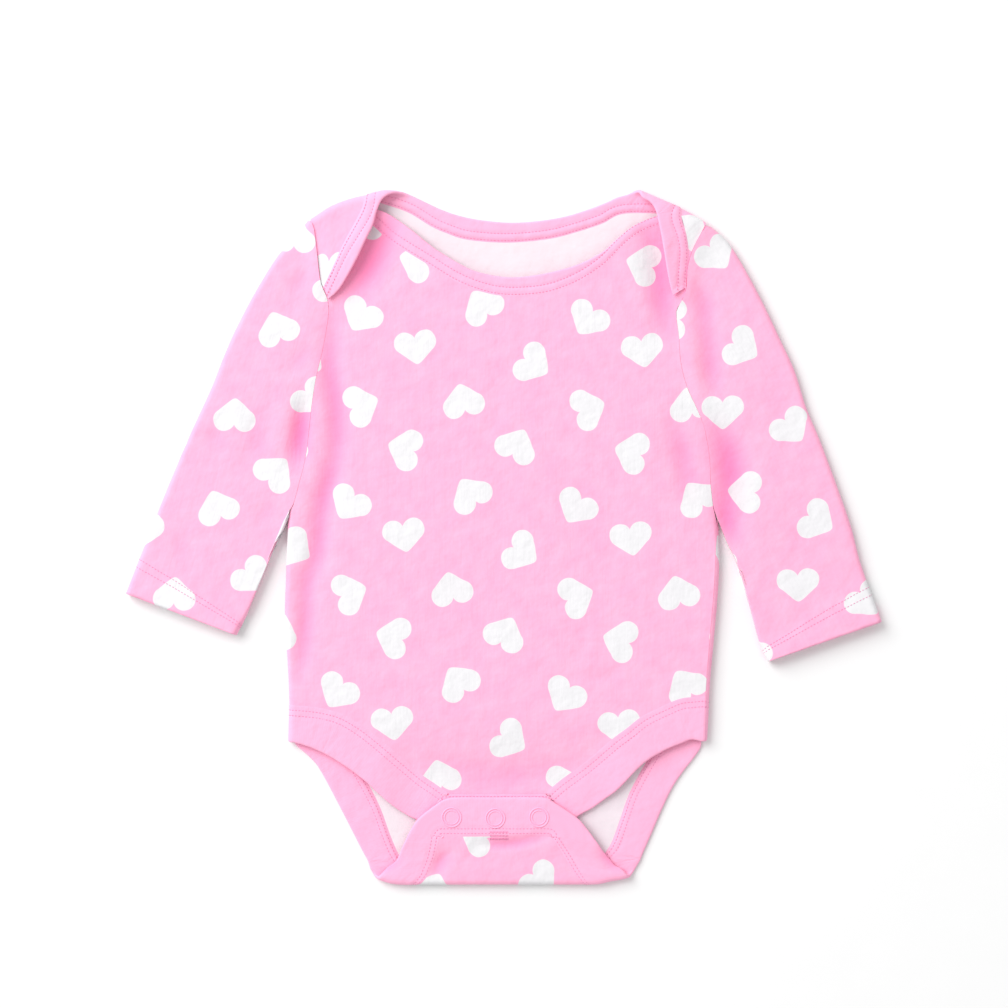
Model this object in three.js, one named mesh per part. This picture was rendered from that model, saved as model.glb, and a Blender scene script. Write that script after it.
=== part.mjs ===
import * as THREE from "three";

// A baby bodysuit laid out flat, front up, neck towards +Y. Millimetres, and the table is z = 0.
// Each panel is laid out as cloth in one plane and then bent over its folds:
// the back's shoulder flaps over the front's shoulders, the crotch flap up over the front's tab,
// and the side seams a little round the sides.

const JERSEY = 1.2; // wall of the body cloth
const SEAM_GAP = 0.3; // between two pieces sewn together
const LAYER_GAP = 0.3; // between two layers that lie on each other
const BODY_HEIGHT = 6; // outside of the back to outside of the front
const BAND = 2; // folded rib of the leg bands
const BINDING = 1.8; // folded rib of the neck bindings and plackets
const FOLD_EDGE_SHARE = 0.5; // thickness of a rib's rounded free edge against the rib's own
const TAB_LEVEL = 3.1; // middle of the front's wall under the crotch flap
const FLAP_LEVEL = 6.3; // middle of the crotch flap at its placket
const SNAP_RADIUS = 5.3;
const SNAP_HOLE_RADIUS = 4.3;
const SNAP_RIM = 0.7;
const INNER_RING_RADIUS = 4.4;
const INNER_RING_HOLE = 3.2;
const STUD_RADIUS = 4.2;

const BACK_LEVEL = JERSEY / 2; // middle of the back's wall
const FRONT_LEVEL = BODY_HEIGHT - JERSEY / 2;
const BODY_BEND = (FRONT_LEVEL - BACK_LEVEL) / 2; // radius of a side fold at the middle of the wall
const FLAP_BEND = BODY_BEND + (JERSEY + LAYER_GAP) / 2; // shoulder fold of the back
const INNER_BEND = FLAP_BEND - JERSEY - LAYER_GAP; // shoulder fold of the front, inside it
const HALF_TURN = Math.PI;

const table = (columns, rows) =>
  rows.map((row) => Object.fromEntries(columns.split(" ").map((name, i) => [name, row[i]])));

// Outline as it lies, by station.

const SHOULDER_FOLD_LEFT = table("x y", [
  [-112, 171.5],
  [-105.5, 176],
  [-95.5, 182.5],
  [-85.5, 186.5],
  [-75, 189],
  [-65.5, 191],
  [-56, 190.5],
]);
const SHOULDER_FOLD_RIGHT = table("x y", [
  [72, 192.5],
  [78, 190],
  [86, 186.5],
  [101, 180],
  [113.5, 172.5],
  [120, 169],
]);
const SIDE_LEFT = table("x y", [
  [-118.5, 21],
  [-119, 4.5],
  [-120, -24],
  [-120.5, -46],
  [-119, -68],
  [-118, -91.5],
  [-118.5, -114],
]);
const SIDE_RIGHT = table("x y", [
  [118.5, 21],
  [118.5, 4.5],
  [119, -12.5],
  [118, -32.5],
  [116, -56],
  [114, -78],
  [112, -112],
]);
const CROTCH_FOLD = table("x y", [
  [-78, -183.5],
  [-73, -186],
  [-68, -188.5],
  [-61, -190.5],
  [-51.5, -191],
  [-2, -191],
  [44.5, -191],
  [53, -190.5],
  [59.5, -189],
  [65.5, -188],
  [71, -186],
  [76, -180.5],
]);

// The side seam's place round the side fold, from the middle of the fold towards the back.
const SEAM_SHIFT_LEFT = table("y shift", [
  [5, 0],
  [-10, 2.4],
  [-92, 3],
  [-114, 3],
]);
const SEAM_SHIFT_RIGHT = table("y shift", [
  [5, -1.5],
  [-10, -3.2],
  [-92, -3],
  [-114, -2],
]);

const ARMHOLE_LEFT = table("x y", [
  [-102.5, 157.5],
  [-100.5, 141],
  [-96.5, 130.5],
  [-96.5, 120.5],
  [-99.5, 103.5],
  [-103, 88.5],
  [-105.5, 73],
  [-107, 59.5],
  [-109, 44],
  [-112.5, 29.5],
]);
const ARMHOLE_RIGHT = table("x y", [
  [104, 158.5],
  [99.5, 146.5],
  [94, 132],
  [95, 124],
  [96.5, 110.5],
  [97.5, 96.5],
  [101, 83],
  [106, 72],
  [110, 62.5],
  [112, 53.5],
  [113.5, 43],
  [114, 29.5],
]);
const ARMHOLE_TOP_LEFT = { x: -104, y: 171.5 };
const ARMHOLE_TOP_RIGHT = { x: 109.5, y: 169.5 };
const ARMPIT_LEFT = { x: -119, y: 8 };
const ARMPIT_RIGHT = { x: 118.5, y: 6 };

const FRONT_NECK = table("x y", [
  [-72, 172],
  [-65.5, 166],
  [-58, 160.5],
  [-42.5, 151],
  [-27, 141.5],
  [-12, 135.5],
  [2.5, 133],
  [20.5, 134],
  [33.5, 137.5],
  [46, 143.5],
  [56.5, 151],
  [64.5, 159],
  [74, 167],
  [87, 172.5],
]);
const FRONT_BINDING_EDGE = table("x y", [
  [-65.5, 179.5],
  [-58, 175],
  [-50.5, 169.5],
  [-42.5, 163],
  [-35, 157.5],
  [-19.5, 148.5],
  [-8, 145],
  [4, 143.5],
  [16.5, 144.5],
  [29, 147],
  [42, 151],
  [54.5, 157.5],
  [63, 165],
  [72, 172],
  [84, 177],
]);
// Where the front's neck runs on under the flaps: over the shoulder fold, then to the tip.
const FRONT_SHOULDER_LEFT = {
  neck: { x: -87, y: 183 },
  edge: { x: -79, y: 186 },
  neckTip: { x: -99.5, y: 152 },
  edgeTip: { x: -97.5, y: 139.5 },
  armholeTip: { x: -102, y: 153.5 },
};
const FRONT_SHOULDER_RIGHT = {
  neck: { x: 103.5, y: 177.5 },
  edge: { x: 98, y: 181 },
  neckTip: { x: 102.5, y: 160.5 },
  edgeTip: { x: 100, y: 151 },
  armholeTip: { x: 105, y: 161 },
};

const BACK_NECK = table("x y", [
  [-65.5, 184.5],
  [-53.5, 180],
  [-40, 172],
  [-31, 168],
  [-19.5, 164.5],
  [2.5, 163],
  [25, 165],
  [41, 169],
  [54.5, 173.5],
  [67, 179],
  [79, 183.5],
]);
const BACK_BINDING_EDGE = table("x y", [
  [-58, 190.5],
  [-50.5, 188],
  [-42.5, 183.5],
  [-35, 180],
  [-15.5, 175],
  [9, 174],
  [37.5, 179],
  [54.5, 184.5],
  [63, 187.5],
  [71, 190],
]);
// The flaps' edges, seen on the folded layer from the fold to the tip.
const FLAP_NECK_LEFT = table("x y", [
  [-77.5, 181.5],
  [-83.5, 169.5],
  [-91, 154.5],
  [-99, 138],
]);
const FLAP_EDGE_LEFT = table("x y", [
  [-67, 186],
  [-72.5, 169.5],
  [-81, 152],
  [-88.5, 139],
  [-96, 131],
]);
const FLAP_NECK_RIGHT = table("x y", [
  [97.5, 176.5],
  [100.5, 165.5],
  [101.5, 155],
  [100, 143.5],
]);
const FLAP_EDGE_RIGHT = table("x y", [
  [83, 182.5],
  [86, 169],
  [88.5, 155],
  [90.5, 143.5],
  [93, 133.5],
]);

const FRONT_LEG_LEFT = table("x y", [
  [-109.5, -92.5],
  [-101, -93.5],
  [-89.5, -96.5],
  [-78, -103],
  [-67, -111.5],
  [-55.5, -121.5],
  [-45, -130.5],
  [-37, -136],
  [-30, -141],
]);
const FRONT_LEG_RIGHT = table("x y", [
  [104.5, -87.5],
  [97, -88.5],
  [87.5, -92.5],
  [76.5, -98],
  [67.5, -105],
  [59.5, -111],
  [44.5, -124],
  [31, -134],
  [23, -141],
]);
const FRONT_BAND_EDGE_LEFT = table("x y", [
  [-107, -115],
  [-97, -119.5],
  [-86.5, -126],
  [-76.5, -133.5],
  [-69.5, -140],
  [-61, -147.5],
  [-52, -153.5],
  [-47, -156],
]);
const FRONT_BAND_EDGE_RIGHT = table("x y", [
  [103.5, -111],
  [98, -113],
  [89.5, -116.5],
  [80, -122],
  [73.5, -127.5],
  [63, -138.5],
  [56.5, -143.5],
  [49, -149],
  [40.5, -154],
]);
const BACK_LEG_LEFT = table("x y", [
  [-109.5, -94.5],
  [-103, -98.5],
  [-92.5, -108],
  [-83.5, -120.5],
  [-74.5, -136],
  [-68, -149],
  [-62.5, -164],
  [-58, -174.5],
]);
const BACK_LEG_RIGHT = table("x y", [
  [103.5, -94],
  [94.5, -102.5],
  [85.5, -113.5],
  [78, -125],
  [69.5, -141],
  [64.5, -155],
  [59.5, -168.5],
  [54, -177],
]);
const BACK_BAND_EDGE_LEFT = table("x y", [
  [-114, -115],
  [-107, -121],
  [-101, -128.5],
  [-89.5, -150],
  [-78, -172.5],
  [-75, -178],
]);
const BACK_BAND_EDGE_RIGHT = table("x y", [
  [109, -115.5],
  [105.5, -121],
  [98.5, -130],
  [93, -138.5],
  [87, -151],
  [81.5, -164],
  [77.5, -173],
]);
// The crotch flap, seen on the folded layer from the fold up to the placket.
const FLAP_LEG_LEFT = table("x y", [
  [-42.5, -187],
  [-40, -182.5],
  [-37, -174.5],
  [-35, -164],
]);
const FLAP_LEG_RIGHT = table("x y", [
  [40.5, -187],
  [36.5, -181],
  [32, -173],
  [26, -164],
]);
const FLAP_BAND_EDGE_LEFT = table("x y", [
  [-64.5, -182],
  [-59, -177.5],
  [-56, -170.5],
  [-52.5, -163],
  [-48, -155.5],
  [-42.5, -150.5],
  [-35, -144.5],
]);
const FLAP_BAND_EDGE_RIGHT = table("x y", [
  [65.5, -182.5],
  [61.5, -180.5],
  [56.5, -174.5],
  [52, -168],
  [46, -160],
  [40, -153.5],
  [27, -144],
]);
const FLAP_PLACKET = { left: -34.5, right: 25.5, low: -163, high: -142.5 };
const TAB_PLACKET = { left: -33.5, right: 25, low: -163, high: -141.5 };
const TAB_BAND_TIP_LEFT = { x: -42, y: -162 };
const TAB_BAND_TIP_RIGHT = { x: 34.5, y: -161.5 };
const SNAPS = table("x y", [
  [-28.5, -153.5],
  [-4.5, -154],
  [19.5, -153.5],
]);

const SLEEVE_OUTER_LEFT = table("x y", [
  [-107.5, 175],
  [-115, 166.5],
  [-125, 154.5],
  [-135, 138.5],
  [-144.5, 121],
  [-152.5, 104],
  [-160.5, 83.5],
  [-168.5, 66],
  [-177, 47],
  [-193, 8],
  [-208, -30.5],
]);
const SLEEVE_INNER_LEFT = table("x y", [
  [-121, 7.5],
  [-128.5, -10.5],
  [-138, -34],
  [-141.5, -42.5],
  [-147, -53.5],
]);
const SLEEVE_OUTER_RIGHT = table("x y", [
  [114.5, 171.5],
  [124, 162.5],
  [133.5, 147.5],
  [143.5, 128.5],
  [152, 110.5],
  [160.5, 92],
  [167, 71.5],
  [175.5, 51],
  [190.5, 9.5],
  [197, -14.5],
  [208.5, -46],
]);
const SLEEVE_INNER_RIGHT = table("x y", [
  [120, 5.5],
  [124, -4],
  [130, -17.5],
  [136, -38.5],
  [140.5, -55.5],
  [145.5, -68],
]);
// Long troughs of the sleeves: line from one end to the other, then the width and the depth.
const SLEEVE_TROUGHS_LEFT = table("x1 y1 x2 y2 width depth", [
  [-110.5, 75, -113.5, 42, 6, 1.4],
  [-133, 70.5, -139.5, 42, 8, 0.8],
]);
const SLEEVE_TROUGHS_RIGHT = table("x1 y1 x2 y2 width depth", [
  [108, 131, 114.5, 80.5, 8, 1.8],
  [120, 62, 130, 29, 9, 2.2],
  [122.5, 16.5, 126, -4, 7, 1.2],
]);

// Plane curves.

const plan = (point) => new THREE.Vector2(point.x, point.y);

function curvePoints(rows, segments) {
  return new THREE.SplineCurve(rows.map(plan)).getSpacedPoints(segments);
}

// A smooth function through [place, value] pairs.
function profile(pairs) {
  const sorted = [...pairs].sort((a, b) => a[0] - b[0]);
  const last = sorted.length - 1;
  const slope = (i) => {
    const from = sorted[Math.max(i - 1, 0)];
    const to = sorted[Math.min(i + 1, last)];
    return (to[1] - from[1]) / (to[0] - from[0]);
  };
  return (place) => {
    const at = THREE.MathUtils.clamp(place, sorted[0][0], sorted[last][0]);
    const i = Math.min(Math.max(sorted.findIndex((pair) => pair[0] > at) - 1, 0), last - 1);
    const k = at >= sorted[last][0] ? last - 1 : i;
    const [x0, y0] = sorted[k];
    const [x1, y1] = sorted[k + 1];
    const span = x1 - x0;
    const t = (at - x0) / span;
    const rise = y1 - y0;
    const s0 = slope(k) * span;
    const s1 = slope(k + 1) * span;
    return y0 + t * (s0 + t * (3 * rise - 2 * s0 - s1 + t * (s0 + s1 - 2 * rise)));
  };
}

// A fold: its outward direction in the plan, and where its bend starts at each station along it.
function makeFold(outline, direction, bend, outerRadius) {
  const out = new THREE.Vector2(Math.cos(direction), Math.sin(direction));
  const along = new THREE.Vector2(out.y, -out.x);
  const silhouette = profile(outline.map((row) => [plan(row).dot(along), plan(row).dot(out)]));
  const start = (station) => silhouette(station) - outerRadius;
  return { out, along, bend, start };
}

const foldPoint = (fold, station, past) =>
  fold.out
    .clone()
    .multiplyScalar(fold.start(station) + past)
    .addScaledVector(fold.along, station);

// The cloth point that lies, folded over, above or under a point of the plan.
function unfolded(fold, point) {
  const spot = plan(point);
  const station = spot.dot(fold.along);
  const inside = fold.start(station) - spot.dot(fold.out);
  return foldPoint(fold, station, HALF_TURN * fold.bend + inside);
}

// The cloth point at a distance past the start of the bend, beside a point of the plan.
const pastBend = (fold, point, past) => foldPoint(fold, plan(point).dot(fold.along), past);

const degrees = THREE.MathUtils.degToRad;
const SHOULDER_DIRECTION_LEFT = degrees(109.5);
const SHOULDER_DIRECTION_RIGHT = degrees(61.5);
const FLAP_OUTER = FLAP_BEND + JERSEY / 2;
const BODY_OUTER = BODY_BEND + JERSEY / 2;

const shoulderFold = (side, bend) =>
  side === "left"
    ? makeFold(SHOULDER_FOLD_LEFT, SHOULDER_DIRECTION_LEFT, bend, FLAP_OUTER)
    : makeFold(SHOULDER_FOLD_RIGHT, SHOULDER_DIRECTION_RIGHT, bend, FLAP_OUTER);
const sideFold = (side) =>
  side === "left"
    ? makeFold(SIDE_LEFT, Math.PI, BODY_BEND, BODY_OUTER)
    : makeFold(SIDE_RIGHT, 0, BODY_BEND, BODY_OUTER);

const front = {
  level: FRONT_LEVEL,
  turn: -1,
  shoulder: { left: shoulderFold("left", INNER_BEND), right: shoulderFold("right", INNER_BEND) },
  side: { left: sideFold("left"), right: sideFold("right") },
};
const back = {
  level: BACK_LEVEL,
  turn: 1,
  shoulder: { left: shoulderFold("left", FLAP_BEND), right: shoulderFold("right", FLAP_BEND) },
  side: { left: sideFold("left"), right: sideFold("right") },
  crotch: makeFold(CROTCH_FOLD, -Math.PI / 2, BODY_BEND, BODY_OUTER),
};

const ramp = (value, from, to) => THREE.MathUtils.smootherstep((value - from) / (to - from), 0, 1);

// The front sinks towards its tab under the crotch flap; the flap rises towards its placket.
const tabDrop = ({ x, y }) =>
  (FRONT_LEVEL - TAB_LEVEL) * ramp(-y, 92, 138) * ramp(-Math.abs(x), -74, -46);
const flapRise = (y) => (FLAP_LEVEL - FRONT_LEVEL) * ramp(y, -180, -162);

// A cloth point, at a height above the middle of the wall towards the garment's outside.
function laid(panel, point, height) {
  const folds = [panel.shoulder.left, panel.shoulder.right, panel.side.left, panel.side.right];
  if (panel.crotch) folds.push(panel.crotch);
  const drop = panel === front ? tabDrop(point) : 0;
  for (const fold of folds) {
    const station = point.dot(fold.along);
    const start = fold.start(station);
    const past = point.dot(fold.out) - start;
    const reaches = fold !== panel.side.left && fold !== panel.side.right ? true : point.y < 20;
    if (past <= 0 || !reaches) continue;
    const angle = Math.min(past / fold.bend, HALF_TURN);
    const radius = fold.bend + height;
    const over = Math.max(past - HALF_TURN * fold.bend, 0);
    const across = start + radius * Math.sin(angle) - over;
    const spot = fold.out.clone().multiplyScalar(across).addScaledVector(fold.along, station);
    const axis = panel.level + panel.turn * fold.bend;
    const rise = fold === panel.crotch && over > 0 ? flapRise(spot.y) : 0;
    const share = (1 - Math.cos(angle)) / 2;
    const z = axis - panel.turn * radius * Math.cos(angle) + rise - drop * (1 - share);
    return new THREE.Vector3(spot.x, spot.y, z);
  }
  return new THREE.Vector3(point.x, point.y, panel.level - panel.turn * height - drop);
}

// Solids.

// Cloth patches welded into one sheet and given a wall: place(point, height) puts each point.
class Sheet {
  constructor(place) {
    this.place = place;
    this.points = [];
    this.keys = new Map();
    this.triangles = [];
  }

  index(point) {
    const key = Math.round(point.x * 500) + "," + Math.round(point.y * 500);
    if (!this.keys.has(key)) {
      this.keys.set(key, this.points.length);
      this.points.push(point);
    }
    return this.keys.get(key);
  }

  patch(rows) {
    const faces = [];
    let area = 0;
    for (let j = 0; j + 1 < rows.length; j++) {
      for (let i = 0; i + 1 < rows[j].length; i++) {
        const a = rows[j][i];
        const b = rows[j][i + 1];
        const c = rows[j + 1][i + 1];
        const d = rows[j + 1][i];
        area += c.clone().sub(a).cross(d.clone().sub(b));
        faces.push([a, b, c], [a, c, d]);
      }
    }
    for (const face of faces) {
      const [p, q, r] = face.map((point) => this.index(point));
      if (p === q || q === r || r === p) continue;
      this.triangles.push(area > 0 ? [p, q, r] : [p, r, q]);
    }
  }

  solid(low, high) {
    const count = this.points.length;
    const middle = (low + high) / 2;
    const half = (point) => ((high - low) / 2) * (point.rounded ? FOLD_EDGE_SHARE : 1);
    const outside = this.points.map((point) => this.place(point, middle + half(point)));
    const inside = this.points.map((point) => this.place(point, middle - half(point)));
    const faces = [];
    const open = new Map();
    for (const [p, q, r] of this.triangles) {
      faces.push([p, q, r], [p + count, r + count, q + count]);
      for (const [from, to] of [[p, q], [q, r], [r, p]]) {
        const back = to + "," + from;
        if (open.has(back)) open.delete(back);
        else open.set(from + "," + to, [from, to]);
      }
    }
    for (const [from, to] of open.values()) {
      faces.push([to, from, from + count], [to, from + count, to + count]);
    }
    return closedGeometry([...outside, ...inside], faces);
  }
}

function closedGeometry(points, faces) {
  let volume = 0;
  for (const [a, b, c] of faces) {
    volume += points[a].dot(points[b].clone().cross(points[c]));
  }
  const turned = volume < 0 ? faces.map(([a, b, c]) => [a, c, b]) : faces;
  const geometry = new THREE.BufferGeometry().setFromPoints(points);
  geometry.setIndex(turned.flat());
  const flat = geometry.toNonIndexed();
  flat.computeVertexNormals();
  return flat;
}

// A patch between four borders: rows run from the left border to the right one.
function coons(top, bottom, left, right) {
  const columns = top.length - 1;
  const rows = left.length - 1;
  return left.map((_, j) =>
    top.map((__, i) => {
      const u = i / columns;
      const v = j / rows;
      const point = top[i].clone().multiplyScalar(1 - v).addScaledVector(bottom[i], v);
      point.addScaledVector(left[j], 1 - u).addScaledVector(right[j], u);
      point.addScaledVector(top[0], -(1 - u) * (1 - v)).addScaledVector(top[columns], -u * (1 - v));
      return point.addScaledVector(bottom[0], -(1 - u) * v).addScaledVector(bottom[columns], -u * v);
    }),
  );
}

const between = (a, b, t) => a.clone().lerp(b, t);
const steps = (count) => Array.from({ length: count + 1 }, (_, i) => i / count);
const ruled = (from, to, count) => steps(count).map((t) => from.map((a, i) => between(a, to[i], t)));

// A list of points moved sideways in the plane, to its left when looking along it.
function offset(points, distance) {
  return points.map((point, i) => {
    const ahead = points[Math.min(i + 1, points.length - 1)];
    const behind = points[Math.max(i - 1, 0)];
    const side = ahead.clone().sub(behind).normalize().multiplyScalar(distance);
    return new THREE.Vector2(point.x - side.y, point.y + side.x);
  });
}

// Steps of the sampling.
const ARMHOLE_STEPS = 10;
const SIDE_STEPS = 5;
const LEG_STEPS = 10;
const SHOULDER_STEPS = 4;
const NECK_STEPS = 12;
const TURN_STEPS = 5;
const FLAP_STEPS = 4;

// Borders shared by the panels.

const onPlan = (rows) => rows.map(plan);
const SIDES = ["left", "right"];
const ARMHOLES = { left: ARMHOLE_LEFT, right: ARMHOLE_RIGHT };
const ARMHOLE_TOPS = { left: ARMHOLE_TOP_LEFT, right: ARMHOLE_TOP_RIGHT };
const ARMPITS = { left: ARMPIT_LEFT, right: ARMPIT_RIGHT };
const LEG_TOP_FRONT = { left: -92, right: -87 };
const LEG_TOP_BACK = { left: -92, right: -89 };
const BAND_FOOT = { left: -112.5, right: -112 };
const SIDE_TOP = { left: 18, right: 16.5 };

const startAt = (fold, point) => pastBend(fold, point, 0);
const sideStart = (panel, side, y) => startAt(panel.side[side], { x: 0, y });

const armholes = Object.fromEntries(
  SIDES.map((side) => {
    const top = startAt(back.shoulder[side], ARMHOLE_TOPS[side]);
    const foot = sideStart(back, side, SIDE_TOP[side]);
    return [side, curvePoints([top, ...ARMHOLES[side], foot], ARMHOLE_STEPS)];
  }),
);

const seamShift = {
  left: profile(SEAM_SHIFT_LEFT.map((row) => [row.y, row.shift])),
  right: profile(SEAM_SHIFT_RIGHT.map((row) => [row.y, row.shift])),
};
function sidePast(panel, side, y) {
  const share = (HALF_TURN / 2) * BODY_BEND;
  return share - panel.turn * seamShift[side](y) - SEAM_GAP / 2;
}

// The strip of a panel round the side, from the start of the bend to the side seam.
function sideStrip(panel, side, inner) {
  const foot = inner[inner.length - 1].y;
  const outer = inner.map((point, j) => {
    const y = THREE.MathUtils.lerp(ARMPITS[side].y, foot, j / (inner.length - 1));
    return pastBend(panel.side[side], { x: 0, y }, sidePast(panel, side, y));
  });
  return ruled(inner, outer, TURN_STEPS);
}

// Rows over a fold: first round the bend, each at one distance past its start, then on to the tip.
function flapRows(fold, base, leftEdge, rightEdge, tipSteps, stations = steps(base.length - 1)) {
  const rows = [base];
  for (const turn of steps(TURN_STEPS).slice(1)) {
    const past = turn * HALF_TURN * fold.bend;
    const left = edgeAt(fold, leftEdge, past);
    const right = edgeAt(fold, rightEdge, past);
    rows.push(stations.map((t) => pastBend(fold, between(left, right, t), past)));
  }
  const reach = [leftEdge, rightEdge].map((edge) => afterPast(fold, edge, HALF_TURN * fold.bend));
  const left = new THREE.SplineCurve(reach[0]).getSpacedPoints(tipSteps);
  const right = new THREE.SplineCurve(reach[1]).getSpacedPoints(tipSteps);
  for (let j = 1; j <= tipSteps; j++) {
    rows.push(stations.map((t) => between(left[j], right[j], t)));
  }
  return rows;
}

// The point of an edge at a distance past the start of a fold's bend.
function edgeAt(fold, edge, past) {
  const fine = new THREE.SplineCurve(edge).getSpacedPoints(200);
  const gap = (point) => Math.abs(point.dot(fold.out) - fold.start(point.dot(fold.along)) - past);
  return fine.reduce((best, point) => (gap(point) < gap(best) ? point : best));
}

// The rest of an edge from that point on.
function afterPast(fold, edge, past) {
  const from = edgeAt(fold, edge, past);
  const beyond = (point) => point.dot(fold.out) - fold.start(point.dot(fold.along)) > past + 1;
  return [from, ...edge.filter(beyond)];
}

const group = new THREE.Group();
const jersey = new THREE.MeshStandardMaterial({ color: "#f9bfe0", roughness: 0.9, metalness: 0 });
const rib = new THREE.MeshStandardMaterial({ color: "#f5b3d9", roughness: 0.9, metalness: 0 });
const enamel = new THREE.MeshStandardMaterial({ color: "#f7c3e1", roughness: 0.4, metalness: 0.2 });

function addMesh(name, geometry, material) {
  const mesh = new THREE.Mesh(geometry, material);
  mesh.name = name;
  group.add(mesh);
}

// Front and back panels.

const sideStarts = (panel, side, legTop) =>
  steps(SIDE_STEPS).map((t) => {
    const y = THREE.MathUtils.lerp(SIDE_TOP[side], legTop[side], t);
    return sideStart(panel, side, y);
  });

const NECK_TOPS_BACK = { left: { x: -71, y: 184.5 }, right: { x: 95, y: 179 } };
const EDGE_TOPS_BACK = { left: { x: -62, y: 188 }, right: { x: 80.5, y: 186.5 } };
const CROTCH_SEAM = { left: -51, right: 48.5 };
const CROTCH_EDGE = { left: -73.5, right: 75.5 };
const FRONT_SHOULDERS = { left: FRONT_SHOULDER_LEFT, right: FRONT_SHOULDER_RIGHT };
const FLAP_NECKS = { left: FLAP_NECK_LEFT, right: FLAP_NECK_RIGHT };
const FLAP_EDGES = { left: FLAP_EDGE_LEFT, right: FLAP_EDGE_RIGHT };
const FRONT_LEGS = { left: FRONT_LEG_LEFT, right: FRONT_LEG_RIGHT };
const BACK_LEGS = { left: BACK_LEG_LEFT, right: BACK_LEG_RIGHT };
const FLAP_LEGS = { left: FLAP_LEG_LEFT, right: FLAP_LEG_RIGHT };
const FRONT_BAND_EDGES = { left: FRONT_BAND_EDGE_LEFT, right: FRONT_BAND_EDGE_RIGHT };
const BACK_BAND_EDGES = { left: BACK_BAND_EDGE_LEFT, right: BACK_BAND_EDGE_RIGHT };
const FLAP_BAND_EDGES = { left: FLAP_BAND_EDGE_LEFT, right: FLAP_BAND_EDGE_RIGHT };

const straight = (from, to, count) => steps(count).map((t) => between(from, to, t));
const crotchStart = (x) => startAt(back.crotch, { x, y: 0 });

const frontSides = {};
const backSides = {};
for (const side of SIDES) {
  const shoulder = FRONT_SHOULDERS[side];
  const fold = front.shoulder[side];
  const starts = sideStarts(front, side, LEG_TOP_FRONT);
  const top = armholes[side][0];
  const neck = startAt(fold, shoulder.neck);
  frontSides[side] = {
    top,
    neck,
    starts,
    shoulder: straight(top, neck, SHOULDER_STEPS),
    armholeEdge: [top, unfolded(fold, shoulder.armholeTip)],
    neckEdge: [neck, unfolded(fold, shoulder.neckTip)],
    leg: curvePoints([starts[SIDE_STEPS], ...FRONT_LEGS[side]], LEG_STEPS),
  };
}
for (const side of SIDES) {
  const fold = back.shoulder[side];
  const starts = sideStarts(back, side, LEG_TOP_BACK);
  const top = armholes[side][0];
  const neck = startAt(fold, NECK_TOPS_BACK[side]);
  const crotch = crotchStart(CROTCH_SEAM[side]);
  backSides[side] = {
    top,
    neck,
    starts,
    shoulder: straight(top, neck, SHOULDER_STEPS),
    armholeEdge: [top, ...ARMHOLES[side].slice(0, 2).map((point) => unfolded(fold, point))],
    neckEdge: [neck, ...FLAP_NECKS[side].map((point) => unfolded(fold, point))],
    leg: curvePoints([starts[SIDE_STEPS], ...BACK_LEGS[side], crotch], LEG_STEPS),
    flapEdge: [crotch, ...FLAP_LEGS[side].map((point) => unfolded(back.crotch, point))],
  };
}
for (const panelSides of [frontSides, backSides]) {
  for (const side of SIDES) {
    const fold = (panelSides === frontSides ? front : back).shoulder[side];
    panelSides[side].shoulder = panelSides[side].shoulder.map((point) => startAt(fold, point));
  }
}

const border = (side, part) => [...armholes[side], ...part.starts.slice(1), ...part.leg.slice(1)];

function panelPatches(panel, sides, neckRows, shoulderTipSteps) {
  const { left, right } = sides;
  const neck = curvePoints([left.neck, ...neckRows, right.neck], NECK_STEPS);
  const top = [...left.shoulder, ...neck.slice(1, -1), ...[...right.shoulder].reverse()];
  const foot = [left.leg[LEG_STEPS], right.leg[LEG_STEPS]];
  const bottom = straight(foot[0], foot[1], top.length - 1);
  const base = panel.crotch ? bottom.map((point) => startAt(panel.crotch, point)) : bottom;
  const patches = [coons(top, base, border("left", left), border("right", right))];
  for (const side of SIDES) {
    const part = sides[side];
    const fold = panel.shoulder[side];
    patches.push(flapRows(fold, part.shoulder, part.armholeEdge, part.neckEdge, shoulderTipSteps));
    patches.push(sideStrip(panel, side, part.starts));
  }
  if (panel.crotch) {
    patches.push(flapRows(panel.crotch, base, left.flapEdge, right.flapEdge, FLAP_STEPS));
  }
  return { patches, neck };
}

const sheetOf = (place, patches) => {
  const sheet = new Sheet(place);
  for (const rows of patches) sheet.patch(rows);
  return sheet;
};

const SHOULDER_TIP_STEPS = 5;
const frontCut = panelPatches(front, frontSides, FRONT_NECK.slice(0), 3);
const backCut = panelPatches(back, backSides, BACK_NECK.slice(1, -1), SHOULDER_TIP_STEPS);
const wall = [-JERSEY / 2, JERSEY / 2];
const onFront = (point, height) => laid(front, point, height);
const onBack = (point, height) => laid(back, point, height);
addMesh("front_panel", sheetOf(onFront, frontCut.patches).solid(...wall), jersey);
addMesh("back_panel", sheetOf(onBack, backCut.patches).solid(...wall), jersey);

// Ribs: strips between a seam edge and a free edge, which is a rounded fold.

const RIB_STATIONS = [0, 0.35, 0.7, 0.94, 1];

const ribRows = (seam, free) =>
  RIB_STATIONS.map((t) =>
    seam.map((point, i) => {
      const spot = between(point, free[i], t);
      spot.rounded = t === 1;
      return spot;
    }),
  );

// Like flapRows, for a strip whose base runs from the seam edge to the free edge.
function ribOverFold(fold, seamEdge, freeEdge, tipSteps) {
  const base = RIB_STATIONS.map((t) => startAt(fold, between(seamEdge[0], freeEdge[0], t)));
  const rows = flapRows(fold, base, seamEdge, freeEdge, tipSteps, RIB_STATIONS);
  for (const row of rows) row[row.length - 1].rounded = true;
  return rows;
}

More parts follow.
